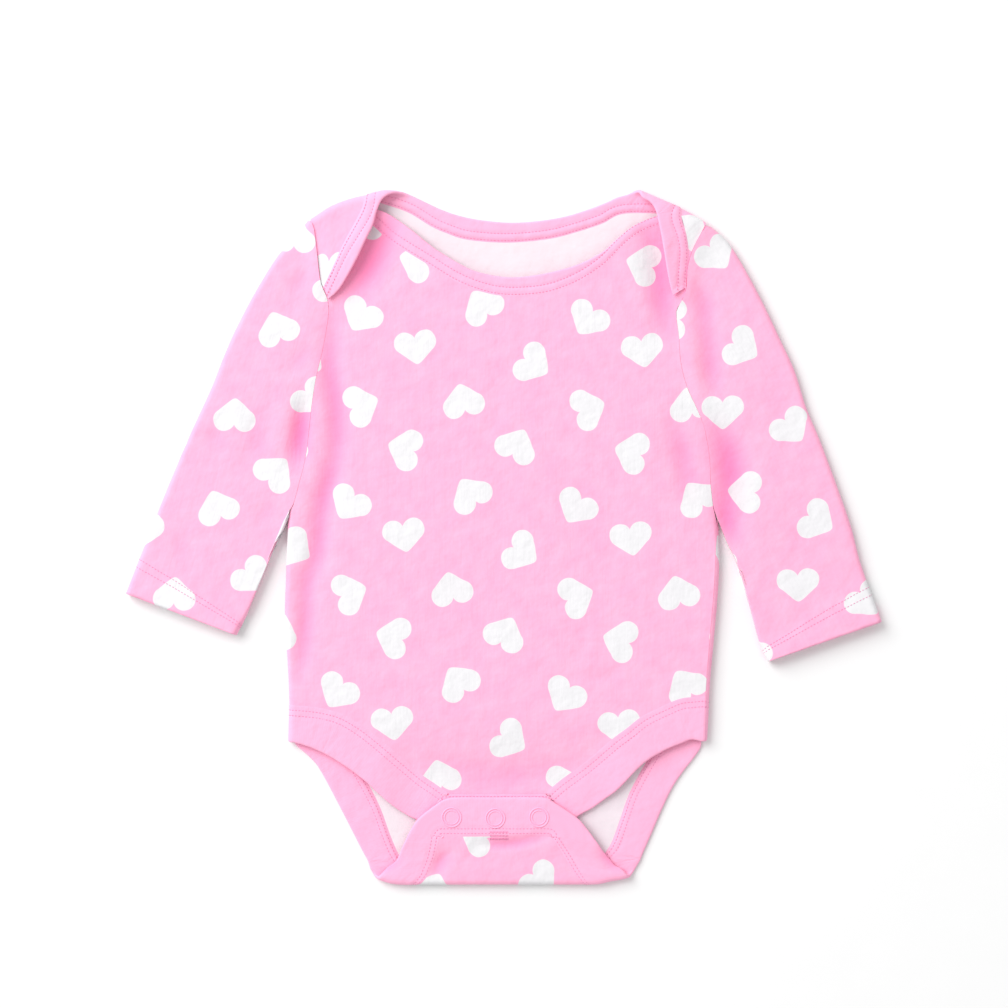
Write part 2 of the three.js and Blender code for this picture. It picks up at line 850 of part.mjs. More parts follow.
function bindingPatches(panel, neckPoints, sides, neckOffset, freeEdges) {
  const seam = offset(neckPoints, neckOffset);
  const free = curvePoints(freeEdges.neck, NECK_STEPS);
  const patches = [];
  for (const side of SIDES) {
    const fold = panel.shoulder[side];
    const end = side === "left" ? 0 : NECK_STEPS;
    const sideways = side === "left" ? -SEAM_GAP : SEAM_GAP;
    seam[end] = startAt(fold, neckPoints[end].clone().addScaledVector(fold.along, -2 * sideways));
    free[end] = startAt(fold, free[end]);
    const seamEdge = [seam[end], ...offset(sides[side].neckEdge, sideways).slice(1)];
    const freeEdge = [free[end], ...freeEdges[side].map((point) => unfolded(fold, point))];
    patches.push(ribOverFold(fold, seamEdge, freeEdge, sides === backSides ? SHOULDER_TIP_STEPS : 3));
  }
  const rows = ribRows(seam, free);
  for (const row of rows) {
    row[0] = Object.assign(startAt(panel.shoulder.left, row[0]), { rounded: row[0].rounded });
    const last = row.length - 1;
    row[last] = Object.assign(startAt(panel.shoulder.right, row[last]), { rounded: row[last].rounded });
  }
  return [rows, ...patches];
}

// A binding lies flush with the outside of the neck and stands proud of the flaps.
function bindingCentre(panel, point) {
  const shares = SIDES.map((side) => {
    const fold = panel.shoulder[side];
    const past = point.dot(fold.out) - fold.start(point.dot(fold.along));
    return ramp(past, 0, HALF_TURN * fold.bend);
  });
  const proud = (BINDING - JERSEY) / 2;
  return panel === back ? proud * (2 * Math.max(...shares) - 1) : -proud;
}
const halfBinding = [-BINDING / 2, BINDING / 2];
const bindingOn = (panel) => (point, height) =>
  laid(panel, point, height + bindingCentre(panel, point));

const frontBinding = bindingPatches(front, frontCut.neck, frontSides, SEAM_GAP, {
  neck: [
    startAt(front.shoulder.left, FRONT_SHOULDER_LEFT.edge),
    ...FRONT_BINDING_EDGE,
    startAt(front.shoulder.right, FRONT_SHOULDER_RIGHT.edge),
  ],
  left: [FRONT_SHOULDER_LEFT.edgeTip],
  right: [FRONT_SHOULDER_RIGHT.edgeTip],
});
const backBinding = bindingPatches(back, backCut.neck, backSides, SEAM_GAP, {
  neck: [
    startAt(back.shoulder.left, EDGE_TOPS_BACK.left),
    ...BACK_BINDING_EDGE.slice(1, -1),
    startAt(back.shoulder.right, EDGE_TOPS_BACK.right),
  ],
  left: FLAP_EDGE_LEFT,
  right: FLAP_EDGE_RIGHT,
});
addMesh("neck_binding_front", sheetOf(bindingOn(front), frontBinding).solid(...halfBinding), rib);
addMesh("neck_binding_back", sheetOf(bindingOn(back), backBinding).solid(...halfBinding), rib);

// Leg bands, level with the panels' outsides.

const band = [JERSEY / 2 - BAND, JERSEY / 2];
const TAB_STEPS = 3;

// The band's piece round the side, beside its first column.
function bandStrip(panel, side, rows) {
  return rows.map((row) =>
    steps(TURN_STEPS).map((t) => {
      const y = row[0].y;
      const spot = pastBend(panel.side[side], row[0], t * sidePast(panel, side, y));
      spot.rounded = row[0].rounded;
      return spot;
    }),
  );
}

function bandRows(panel, side, seam, free) {
  const rows = ribRows(seam, free);
  for (const row of rows) {
    row[0] = Object.assign(startAt(panel.side[side], row[0]), { rounded: row[0].rounded });
  }
  return rows;
}

for (const side of SIDES) {
  const sideways = side === "left" ? -SEAM_GAP : SEAM_GAP;
  const tip = side === "left" ? TAB_BAND_TIP_LEFT : TAB_BAND_TIP_RIGHT;
  const beside = TAB_PLACKET[side] + sideways;
  const legSeam = offset(frontSides[side].leg, sideways);
  const tabTop = legSeam[LEG_STEPS];
  const corner = new THREE.Vector2(beside, TAB_PLACKET.high);
  const tabFoot = new THREE.Vector2(beside, TAB_PLACKET.low);
  const tabSeam = [tabTop, ...straight(corner, tabFoot, TAB_STEPS - 1)];
  const foot = sideStart(front, side, BAND_FOOT[side] + SEAM_GAP / 2);
  const free = curvePoints([foot, ...FRONT_BAND_EDGES[side], tip], LEG_STEPS + TAB_STEPS);
  const rows = bandRows(front, side, [...legSeam, ...tabSeam.slice(1)], free);
  const patches = [rows, bandStrip(front, side, rows)];
  addMesh("leg_band_front_" + side, sheetOf(onFront, patches).solid(...band), rib);
}
for (const side of SIDES) {
  const sideways = side === "left" ? -SEAM_GAP : SEAM_GAP;
  const part = backSides[side];
  const legSeam = offset(part.leg, sideways);
  legSeam[LEG_STEPS] = crotchStart(part.leg[LEG_STEPS].x + 2 * sideways);
  const foot = sideStart(back, side, BAND_FOOT[side] + SEAM_GAP / 2);
  const edgeEnd = crotchStart(CROTCH_EDGE[side]);
  const free = curvePoints([foot, ...BACK_BAND_EDGES[side], edgeEnd], LEG_STEPS);
  const rows = bandRows(back, side, legSeam, free);
  for (const row of rows) {
    const last = row.length - 1;
    row[last] = Object.assign(startAt(back.crotch, row[last]), { rounded: row[last].rounded });
  }
  const flapSeam = [legSeam[LEG_STEPS], ...offset(part.flapEdge, sideways).slice(1)];
  const over = (point) => unfolded(back.crotch, point);
  const edge = FLAP_BAND_EDGES[side].map(over);
  const turned = ribOverFold(back.crotch, flapSeam, [free[LEG_STEPS], ...edge.slice(0, 4)], FLAP_STEPS);
  const lastRow = turned[turned.length - 1];
  const besidePlacket = over({ x: FLAP_PLACKET[side] + sideways, y: FLAP_PLACKET.high });
  const topSeam = straight(lastRow[0], besidePlacket, TAB_STEPS);
  const topFree = new THREE.SplineCurve([lastRow[lastRow.length - 1], ...edge.slice(4)]);
  const top = ribRows(topSeam, topFree.getSpacedPoints(TAB_STEPS));
  const patches = [rows, bandStrip(back, side, rows), turned, top];
  addMesh("leg_band_back_" + side, sheetOf(onBack, patches).solid(...band), rib);
}

// Crotch plackets.

function placketRows(placket, gap, place) {
  const y = steps(TAB_STEPS).map((t) => THREE.MathUtils.lerp(placket.high, placket.low + gap, t));
  return y.map((level) =>
    steps(8).map((t) => place({ x: THREE.MathUtils.lerp(placket.left, placket.right, t), y: level })),
  );
}
const flapPlacket = placketRows(FLAP_PLACKET, SEAM_GAP, (point) => unfolded(back.crotch, point));
const tabPlacket = placketRows(TAB_PLACKET, 0, plan);
addMesh("crotch_placket_back", sheetOf(onBack, [flapPlacket]).solid(...halfBinding), rib);
addMesh("crotch_placket_front", sheetOf(onFront, [tabPlacket]).solid(...halfBinding), rib);

// Snaps: a ring on the flap, the closed halves between the plackets, a ring inside the tab.

const SNAP_SIDES = 20;
function ringGeometry(inner, outer, height) {
  const soft = height / 3;
  const outline = [
    [inner, 0],
    [outer, 0],
    [outer, height - soft],
    [outer - soft, height],
    [inner + soft, height],
    [inner, height - soft],
    [inner, 0],
  ];
  const points = outline.map(([radius, z]) => new THREE.Vector2(radius, z));
  return new THREE.LatheGeometry(points, SNAP_SIDES).rotateX(Math.PI / 2);
}
const SNAP_CLEARANCE = 0.15;
const RING_HEIGHT = 0.5;
const capLevel = FLAP_LEVEL + BINDING / 2 + SNAP_CLEARANCE;
const studBottom = TAB_LEVEL + BINDING / 2 + SNAP_CLEARANCE;
const studTop = FLAP_LEVEL - BINDING / 2 - SNAP_CLEARANCE;
const ringLevel = TAB_LEVEL - BINDING / 2 - SNAP_CLEARANCE - RING_HEIGHT;
SNAPS.forEach(({ x, y }, i) => {
  const number = i + 1;
  const cap = ringGeometry(SNAP_HOLE_RADIUS, SNAP_RADIUS, SNAP_RIM).translate(x, y, capLevel);
  const stud = new THREE.CylinderGeometry(STUD_RADIUS, STUD_RADIUS, studTop - studBottom, SNAP_SIDES);
  stud.rotateX(Math.PI / 2).translate(x, y, (studTop + studBottom) / 2);
  const ring = ringGeometry(INNER_RING_HOLE, INNER_RING_RADIUS, RING_HEIGHT).translate(x, y, ringLevel);
  addMesh("snap_cap_" + number, cap, enamel);
  addMesh("snap_stud_" + number, stud, enamel);
  addMesh("snap_back_" + number, ring, enamel);
});

// Sleeves: a flattened tube through rings from the armhole to the cuff.

const SLEEVE_ROWS = 12;
const SLEEVE_TOP_STEPS = 11;
const SLEEVE_TURN_STEPS = 5;
const SLEEVE_CLEARANCE = 0.8; // the armhole seam

function sleevePlan(side, outerRows, innerRows) {
  const sideways = side === "left" ? -SLEEVE_CLEARANCE : SLEEVE_CLEARANCE;
  const outer = curvePoints(outerRows, SLEEVE_ROWS);
  const inner = curvePoints(innerRows, SLEEVE_ROWS);
  const armhole = [outer[0], ...offset(armholes[side], sideways), inner[0]];
  const columns = armhole.length - 1;
  const cuff = straight(outer[SLEEVE_ROWS], inner[SLEEVE_ROWS], columns);
  return coons(armhole, cuff, outer, inner);
}

// The point of a polyline at a distance along it.
function alongLine(line, distance) {
  let rest = distance;
  for (let i = 0; i + 1 < line.length; i++) {
    const length = line[i].distanceTo(line[i + 1]);
    if (rest <= length) return between(line[i], line[i + 1], rest / length);
    rest -= length;
  }
  return line[line.length - 1].clone();
}
const lengthOf = (line) => line.slice(1).reduce((sum, point, i) => sum + point.distanceTo(line[i]), 0);

function troughDepth(troughs, spot) {
  return troughs.reduce((sum, row) => {
    const from = new THREE.Vector2(row.x1, row.y1);
    const span = new THREE.Vector2(row.x2, row.y2).sub(from);
    const t = THREE.MathUtils.clamp(spot.clone().sub(from).dot(span) / span.lengthSq(), 0, 1);
    const away = spot.distanceTo(from.addScaledVector(span, t)) / row.width;
    return sum + row.depth * Math.exp(-away * away * 2);
  }, 0);
}

function sleeveRing(line, height, troughs) {
  const total = lengthOf(line);
  const centres = steps(SLEEVE_TOP_STEPS).map((t) =>
    alongLine(line, THREE.MathUtils.lerp(BODY_OUTER, total - BODY_OUTER, t)),
  );
  const ends = [line[0], line[line.length - 1]];
  const ring = centres.map((spot) => {
    const z = BODY_OUTER + BODY_BEND + height - troughDepth(troughs, spot);
    return new THREE.Vector3(spot.x, spot.y, z);
  });
  const round = (centre, end, signs) => {
    const out = end.clone().sub(centre).normalize();
    for (const t of steps(SLEEVE_TURN_STEPS).slice(1, -1)) {
      const angle = (0.5 - t) * HALF_TURN * signs;
      const spot = centre.clone().addScaledVector(out, (BODY_BEND + height) * Math.cos(angle));
      ring.push(new THREE.Vector3(spot.x, spot.y, BODY_OUTER + (BODY_BEND + height) * Math.sin(angle)));
    }
  };
  round(centres[centres.length - 1], ends[1], 1);
  for (const spot of [...centres].reverse()) {
    ring.push(new THREE.Vector3(spot.x, spot.y, BODY_OUTER - BODY_BEND - height));
  }
  round(centres[0], ends[0], -1);
  return ring;
}

function tube(outerRings, innerRings) {
  const size = outerRings[0].length;
  const rows = outerRings.length;
  const points = [...outerRings.flat(), ...innerRings.flat()];
  const inside = rows * size;
  const faces = [];
  const quad = (a, b, c, d) => faces.push([a, b, c], [a, c, d]);
  for (let i = 0; i < size; i++) {
    const next = (i + 1) % size;
    for (let j = 0; j + 1 < rows; j++) {
      const here = j * size;
      const below = here + size;
      quad(here + i, here + next, below + next, below + i);
      quad(inside + here + next, inside + here + i, inside + below + i, inside + below + next);
    }
    const last = (rows - 1) * size;
    quad(next, i, inside + i, inside + next);
    quad(last + i, last + next, inside + last + next, inside + last + i);
  }
  return closedGeometry(points, faces);
}

const SLEEVES = {
  left: [SLEEVE_OUTER_LEFT, SLEEVE_INNER_LEFT, SLEEVE_TROUGHS_LEFT],
  right: [SLEEVE_OUTER_RIGHT, SLEEVE_INNER_RIGHT, SLEEVE_TROUGHS_RIGHT],
};
for (const side of SIDES) {
  const [outer, inner, troughs] = SLEEVES[side];
  const lines = sleevePlan(side, outer, inner);
  const rings = (height) => lines.map((line) => sleeveRing(line, height, troughs));
  addMesh("sleeve_" + side, tube(rings(JERSEY / 2), rings(-JERSEY / 2)), jersey);
}

// The origin lies under the middle of the whole garment.
const box = new THREE.Box3().setFromObject(group);
const middle = box.getCenter(new THREE.Vector3());
group.position.set(-middle.x, -middle.y, -box.min.z);

export default group;
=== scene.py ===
import math

import bmesh
import bpy
import numpy as np
from mathutils import Matrix, Vector


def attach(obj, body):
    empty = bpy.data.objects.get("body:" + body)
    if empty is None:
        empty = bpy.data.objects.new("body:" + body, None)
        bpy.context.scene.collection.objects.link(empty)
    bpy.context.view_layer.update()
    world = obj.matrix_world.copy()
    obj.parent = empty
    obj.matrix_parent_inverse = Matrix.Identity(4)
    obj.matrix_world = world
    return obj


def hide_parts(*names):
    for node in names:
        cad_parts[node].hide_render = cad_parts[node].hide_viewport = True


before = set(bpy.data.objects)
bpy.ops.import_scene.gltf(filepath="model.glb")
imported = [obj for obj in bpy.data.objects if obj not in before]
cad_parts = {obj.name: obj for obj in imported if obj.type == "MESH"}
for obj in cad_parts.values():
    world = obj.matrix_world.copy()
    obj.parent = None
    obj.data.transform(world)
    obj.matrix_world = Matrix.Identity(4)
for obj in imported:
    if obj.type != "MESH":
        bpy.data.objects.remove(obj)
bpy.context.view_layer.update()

# A baby bodysuit laid out flat, front up, neck towards +Y. Shapes are worked out in
# millimetres as the garment lies and turned into the frame's metres at the end.
# Every panel is laid out as cloth in one plane and then bent over its folds.

MM = 0.001
MIDDLE = Vector((-0.249, -0.092, 0))  # from the garment's own layout to the frame

JERSEY = 1.2  # wall of the body cloth in the solid
JERSEY_WALL = 0.8  # wall of the cloth that shows
RIB_WALL = 0.6
BODY_HEIGHT = 6  # outside of the back to outside of the front
BAND = 2  # folded rib of the leg bands
BINDING = 1.8  # folded rib of the neck bindings and the front placket
TAB_LEVEL = 3.1  # middle of the front's wall under the crotch flap
FLAP_LEVEL = 6.3  # middle of the crotch flap at its placket
LAYER_GAP = 0.3
SEAM_GAP = 0.1

BACK_LEVEL = JERSEY / 2
FRONT_LEVEL = BODY_HEIGHT - JERSEY / 2
BODY_BEND = (FRONT_LEVEL - BACK_LEVEL) / 2
BODY_OUTER = BODY_BEND + JERSEY / 2
FLAP_BEND = BODY_BEND + (JERSEY + LAYER_GAP) / 2
INNER_BEND = FLAP_BEND - JERSEY - LAYER_GAP
FLAP_OUTER = FLAP_BEND + JERSEY / 2
HALF_WALL = JERSEY / 2

# Outline as it lies, in millimetres.

SHOULDER_FOLD = {
    "left": [
        (-112, 171.5), (-105.5, 176), (-95.5, 182.5), (-85.5, 186.5), (-75, 189), (-65.5, 191),
        (-56, 190.5),
    ],
    "right": [
        (72, 192.5), (78, 190), (86, 186.5), (101, 180), (113.5, 172.5), (120, 169),
    ],
}
SIDE_FOLD = {
    "left": [
        (-118.5, 21), (-119, 4.5), (-120, -24), (-120.5, -46), (-119, -68), (-118, -91.5),
        (-118.5, -114),
    ],
    "right": [
        (118.5, 21), (118.5, 4.5), (119, -12.5), (118, -32.5), (116, -56), (114, -78), (112, -112),
    ],
}
CROTCH_FOLD = [
    (-78, -183.5), (-73, -186), (-68, -188.5), (-61, -190.5), (-51.5, -191), (-2, -191),
    (44.5, -191), (53, -190.5), (59.5, -189), (65.5, -188), (71, -186), (76, -180.5),
]
# How far a side seam lies round its fold: y and distance.
SIDE_SEAM = {
    "left": [
        (5, 0), (-10, 2.4), (-92, 3), (-114, 3),
    ],
    "right": [
        (5, -1.5), (-10, -3.2), (-92, -3), (-114, -2),
    ],
}
# By the right flap's tip the seam is drawn outwards, a little off the solid's line.
ARMHOLE = {
    "left": [
        (-102.5, 157.5), (-100.5, 141), (-96.5, 130.5), (-96.5, 120.5), (-99.5, 103.5),
        (-103, 88.5), (-105.5, 73), (-107, 59.5), (-109, 44), (-112.5, 29.5),
    ],
    "right": [
        (104, 158.5), (101.2, 148.5), (100.4, 136.4), (97, 128.7), (95, 124), (96.5, 110.5),
        (97.5, 96.5), (101, 83), (106, 72), (110, 62.5), (112, 53.5), (113.5, 43), (114, 29.5),
    ],
}
FRONT_NECK = [
    (-72, 172), (-65.5, 166), (-58, 160.5), (-42.5, 151), (-27, 141.5), (-12, 135.5), (2.5, 133),
    (20.5, 134), (33.5, 137.5), (46, 143.5), (56.5, 151), (64.5, 159), (74, 167), (87, 172.5),
]
FRONT_BINDING_EDGE = [
    (-65.5, 179.5), (-58, 175), (-50.5, 169.5), (-42.5, 163), (-35, 157.5), (-19.5, 148.5),
    (-8, 145), (4, 143.5), (16.5, 144.5), (29, 147), (42, 151), (54.5, 157.5), (63, 165),
    (72, 172), (84, 177),
]
BACK_NECK = [
    (-53.5, 180), (-40, 172), (-31, 168), (-19.5, 164.5), (2.5, 163), (25, 165), (41, 169),
    (54.5, 173.5), (67, 179),
]
BACK_BINDING_EDGE = [
    (-43.5, 185.5), (-35, 181.5), (-25, 178), (-13, 175.5), (3.5, 174), (20, 175), (34.5, 177.5),
    (47.5, 181.5), (56.5, 185), (63, 188),
]
FLAP_NECK = {
    "left": [
        (-77.5, 181.5), (-83.5, 169.5), (-91, 154.5), (-99, 138),
    ],
    "right": [
        (97.5, 176.5), (100.5, 165.5), (101.5, 155), (99.8, 137.5),
    ],
}
# The binding's free edge runs aslant over the shoulder fold, on to the flap.
FLAP_EDGE = {
    "left": [
        (-62, 189), (-66.5, 186), (-69.5, 179.5), (-72.5, 169.5), (-81, 152), (-88.5, 139),
        (-96, 131),
    ],
    "right": [
        (75.5, 188), (80, 185), (83.5, 180), (86, 169), (88.5, 155), (90.5, 143.5), (93, 133.5),
    ],
}
FRONT_LEG = {
    "left": [
        (-109.5, -92.5), (-101, -93.5), (-89.5, -96.5), (-78, -103), (-67, -111.5),
        (-55.5, -121.5), (-45, -130.5), (-37, -136), (-30, -141),
    ],
    "right": [
        (104.5, -87.5), (97, -88.5), (87.5, -92.5), (76.5, -98), (67.5, -105), (59.5, -111),
        (44.5, -124), (31, -134), (23, -141),
    ],
}
FRONT_BAND_EDGE = {
    "left": [
        (-107, -115), (-97, -119.5), (-86.5, -126), (-76.5, -133.5), (-69.5, -140), (-61, -147.5),
        (-52, -153.5), (-47, -156),
    ],
    "right": [
        (103.5, -111), (98, -113), (89.5, -116.5), (80, -122), (73.5, -127.5), (63, -138.5),
        (56.5, -143.5), (49, -149), (40.5, -154),
    ],
}
BACK_LEG = {
    "left": [
        (-109.5, -94.5), (-103, -98.5), (-92.5, -108), (-83.5, -120.5), (-74.5, -136), (-68, -149),
        (-62.5, -164), (-58, -174.5),
    ],
    "right": [
        (103.5, -94), (94.5, -102.5), (85.5, -113.5), (78, -125), (69.5, -141), (64.5, -155),
        (59.5, -168.5), (54, -177),
    ],
}
BACK_BAND_EDGE = {
    "left": [
        (-114, -115), (-107, -121), (-101, -128.5), (-89.5, -150), (-78, -172.5), (-75, -178),
    ],
    "right": [
        (109, -115.5), (105.5, -121), (98.5, -130), (93, -138.5), (87, -151), (81.5, -164),
        (77.5, -173),
    ],
}
FLAP_LEG = {
    "left": [
        (-42.5, -187), (-40, -182.5), (-37, -174.5), (-35, -164),
    ],
    "right": [
        (40.5, -187), (36.5, -181), (32, -173), (26, -164),
    ],
}
FLAP_BAND_EDGE = {
    "left": [
        (-64.5, -182), (-59, -177.5), (-56, -170.5), (-52.5, -163), (-48, -155.5), (-42.5, -150.5),
    ],
    "right": [
        (65.5, -182.5), (61.5, -180.5), (56.5, -174.5), (52, -168), (46, -160), (40, -153.5),
    ],
}
SNAPS = [
    (-28.5, -153.5), (-4.5, -154), (19.5, -153.5),
]
SLEEVE_OUTER = {
    "left": [
        (-107.5, 175), (-115, 166.5), (-125, 154.5), (-135, 138.5), (-144.5, 121), (-152.5, 104),
        (-160.5, 83.5), (-168.5, 66), (-177, 47), (-193, 8), (-208, -30.5),
    ],
    "right": [
        (114.5, 171.5), (124, 162.5), (133.5, 147.5), (143.5, 128.5), (152, 110.5), (160.5, 92),
        (167, 71.5), (175.5, 51), (190.5, 9.5), (197, -14.5), (208.5, -46),
    ],
}
SLEEVE_INNER = {
    "left": [
        (-121, 7.5), (-128.5, -10.5), (-138, -34), (-141.5, -42.5), (-147, -53.5),
    ],
    "right": [
        (120, 5.5), (124, -4), (130, -17.5), (136, -38.5), (140.5, -55.5), (145.5, -68),
    ],
}

ARMHOLE_TOP = {"left": (-104, 171.5), "right": (109.5, 169.5)}
ARMPIT_Y = {"left": 8, "right": 6}
LEG_TOP_FRONT = {"left": -92, "right": -87}
LEG_TOP_BACK = {"left": -92, "right": -89}
BAND_FOOT = {"left": -112.5, "right": -112}
SIDE_TOP = {"left": 18, "right": 16.5}
NECK_TOP_BACK = {"left": (-71, 184.5), "right": (95, 179)}
EDGE_TOP_BACK = {"left": (-50, 188.5), "right": (69, 189.5)}
NECK_TOP_FRONT = {"left": (-87, 183), "right": (103.5, 177.5)}
EDGE_TOP_FRONT = {"left": (-79, 186), "right": (98, 181)}
NECK_TIP_FRONT = {"left": (-99.5, 152), "right": (102.5, 160.5)}
EDGE_TIP_FRONT = {"left": (-97.5, 139.5), "right": (100, 151)}
ARMHOLE_TIP_FRONT = {"left": (-102, 153.5), "right": (105, 161)}
CROTCH_SEAM = {"left": -51, "right": 48.5}
CROTCH_EDGE = {"left": -73.5, "right": 75.5}
FLAP_PLACKET = {"left": -34.5, "right": 25.5, "low": -164, "high": -142.5}
TAB_PLACKET = {"left": -33.5, "right": 25, "low": -163, "high": -141.5}
TAB_BAND_TIP = {"left": (-42, -162), "right": (34.5, -161.5)}

SIDES = ("left", "right")
AWAY = {"left": -1, "right": 1}  # from the middle of the garment
FLAP_ROWS = {"left": 2, "right": 3}  # rows of the armhole that the flap is sewn along

# Creases as they lie: points of the line, width, depth; a negative depth is a ridge.

FRONT_CREASES = [
    # left side, from the armpit down to the leg
    ([(-94, 119), (-95.5, 93), (-92.5, 73), (-92.5, 47.5), (-98, 24)], 8, 2.3),
    ([(-97, 35), (-101, 11), (-102.5, -7.5), (-108.5, -27.5)], 7.5, 2.1),
    ([(-108.5, -21), (-108.5, -40.5), (-112.5, -76.5)], 6.5, 1.8),
    # under the left shoulder flap
    ([(-62.5, 178), (-69, 161.5), (-76.5, 146.5), (-85.5, 132)], 13, 2.6),
    # under the right shoulder flap
    ([(79.5, 170.5), (83.5, 158.5), (86.5, 136.5), (90, 114.5)], 10, 2.5),
    ([(93, 65), (98.5, 44), (102.5, 21)], 10, 1.6),
    # across the front and above the placket
    ([(-35, -127.5), (-2, -132), (35.5, -127.5)], 10, 1.9),
    ([(-0.5, 88.5), (-4.5, 71.5), (-9, 54.5)], 7, 0.35),
    ([(-2, 43.5), (-1.5, 21), (-2.5, -2)], 9, 0.35),
    ([(42.5, -48), (43.5, -55.5), (41, -62.5), (36, -71)], 5, 0.4),
    ([(40, -77), (56, -77), (67, -72.5)], 5, 0.4),
    ([(-46, -12), (-26.5, -28.5), (-13, -56)], 22, 0.5),
    ([(31, 37.5), (47.5, 10), (53, -23)], 24, 0.5),
    # crotch
    ([(-14, -167.5), (-2, -168.5), (11.5, -167), (23, -164)], 4, 1.7),
    ([(-30.5, -172.5), (-35, -179), (-37.5, -185)], 5, 1.3),
    ([(54, -172.5), (59, -177.5), (64, -182)], 5, 1.9),
    ([(-73, -183.5), (-62.5, -180), (-56.5, -176)], 4, 1.4),
    ([(-21, -180.5), (-2, -182.5), (20, -180.5)], 9, -0.5),
    # left sleeve
    ([(-111, 75), (-112.5, 58.5), (-114, 42)], 8, 3.2),
    ([(-117.5, 77), (-118, 54)], 7, -0.8),
    ([(-133, 70.5), (-136, 56), (-139.5, 42)], 10, 1.0),
    ([(-119.5, 127.5), (-114.5, 137.5), (-109.5, 148)], 7, 0.8),
    ([(-116, 93), (-112, 99), (-108.5, 104.5)], 6, 0.9),
    ([(-158.5, 60), (-158, 50)], 9, 0.8),
    ([(-179, 1), (-177, -5.5), (-174.5, -12)], 9, 0.7),
    ([(-133, 10), (-129.5, 14), (-127, 17)], 8, 0.7),
    # right sleeve
    ([(106.5, 139), (110.5, 125.5), (112, 110.5)], 8, 1.6),
    ([(112, 110.5), (113.5, 95), (116, 81.5)], 8, 1.8),
    ([(118, 61.5), (123, 47.5), (125, 29.5), (124.5, 12.5)], 12, 2.9),
    ([(120, 17.5), (124, 6.5), (127.5, -1.5)], 8, 1.8),
    ([(102.5, 110.5), (105, 92.5), (110.5, 75)], 6, -0.8),
    ([(144, 102.5), (150, 76), (157.5, 50.5)], 16, 0.5),
    ([(157.5, 10), (167.5, -12)], 14, 0.5),
]
# Lifts of the shoulder flaps' free edges, over the creases under them.
FLAP_LIFTS = [
    ([(-65.5, 183.5), (-72.5, 168.5), (-81, 152), (-87, 141)], 11, -2.4),
    ([(84, 181.5), (86, 168.5), (88.5, 155), (91, 142)], 10, -1.8),
]
BACK_CREASES = [
    ([(-95, 105), (-101, 70), (-96, 35), (-104, 0)], 9, 1.2),
    ([(-108, -20), (-104, -60), (-96, -88)], 8, 1.0),
    ([(92, 96), (98, 60), (92, 22)], 9, 1.1),
    ([(104, 0), (99, -38), (103, -80)], 7, 0.9),
    ([(-40, 60), (-20, 20), (-26, -30)], 18, 0.6),
    ([(46, 30), (34, -18), (40, -58)], 16, 0.6),
    ([(-30, -118), (4, -124), (36, -117)], 11, 1.0),
    ([(-52, 148), (-20, 136), (18, 137), (50, 147)], 9, 0.8),
    ([(-132, 96), (-140, 60), (-150, 28)], 9, 1.0),
    ([(-168, 20), (-176, -6)], 8, 0.8),
    ([(133, 92), (142, 58), (156, 22)], 9, 1.1),
    ([(170, 6), (180, -22)], 8, 0.7),
]


# Plane curves.


def plan(row):
    return Vector((row[0], row[1]))


def between(a, b, t):
    return a + (b - a) * t


def steps(count):
    return [i / count for i in range(count + 1)]


def resampled(line, count):
    """count + 1 points at equal distances along a line of points."""
    lengths = [0.0]
    for a, b in zip(line, line[1:]):
        lengths.append(lengths[-1] + (b - a).length)
    made, i = [], 0
    for t in steps(count):
        at = t * lengths[-1]
        while i < len(line) - 2 and lengths[i + 1] < at:
            i += 1
        span = lengths[i + 1] - lengths[i]
        made.append(between(line[i], line[i + 1], (at - lengths[i]) / span if span else 0))
    return made


CURVE_FINENESS = 24  # straight pieces between two rows of a curve
EDGE_FINENESS = 1500  # straight pieces of an edge that is searched for a point


def curve(rows, count):
    """A smooth curve through the rows, as count + 1 points at equal distances."""
    spots = [plan(row) for row in rows]
    last = len(spots) - 1
    fine = []
    for i in range(last):
        before, a, b, after = (spots[k] for k in (max(i - 1, 0), i, i + 1, min(i + 2, last)))
        out_a, out_b = (b - before) / 2, (after - a) / 2
        for step in range(CURVE_FINENESS):
            t = step / CURVE_FINENESS
            bend = (2 * a - 2 * b + out_a + out_b) * t**3
            fine.append(bend + (3 * b - 3 * a - 2 * out_a - out_b) * t**2 + out_a * t + a)
    fine.append(spots[last])
    return resampled(fine, count)


def profile(pairs):
    """A smooth function through (place, value) pairs."""
    known = sorted(pairs)
    last = len(known) - 1

    def slope(i):
        a, b = known[max(i - 1, 0)], known[min(i + 1, last)]
        return (b[1] - a[1]) / (b[0] - a[0])

    slopes = [slope(i) for i in range(last + 1)]

    def value(place):
        at = min(max(place, known[0][0]), known[last][0])
        i = 0
        while i < last - 1 and known[i + 1][0] < at:
            i += 1
        (x0, y0), (x1, y1) = known[i], known[i + 1]
        span, rise = x1 - x0, y1 - y0
        t = (at - x0) / span
        s0, s1 = slopes[i] * span, slopes[i + 1] * span
        return y0 + t * (s0 + t * (3 * rise - 2 * s0 - s1 + t * (s0 + s1 - 2 * rise)))

    return value


def ramp(value, low, high):
    """0 at low and 1 at high, eased at both ends."""
    t = min(max((value - low) / (high - low), 0), 1)
    return t**3 * (t * (6 * t - 15) + 10)


def offset(line, distance):
    """A line of points moved sideways, to its left."""
    made = []
    for i, spot in enumerate(line):
        ahead, behind = line[min(i + 1, len(line) - 1)], line[max(i - 1, 0)]
        side = (ahead - behind).normalized() * distance
        made.append(Vector((spot.x - side.y, spot.y + side.x)))
    return made


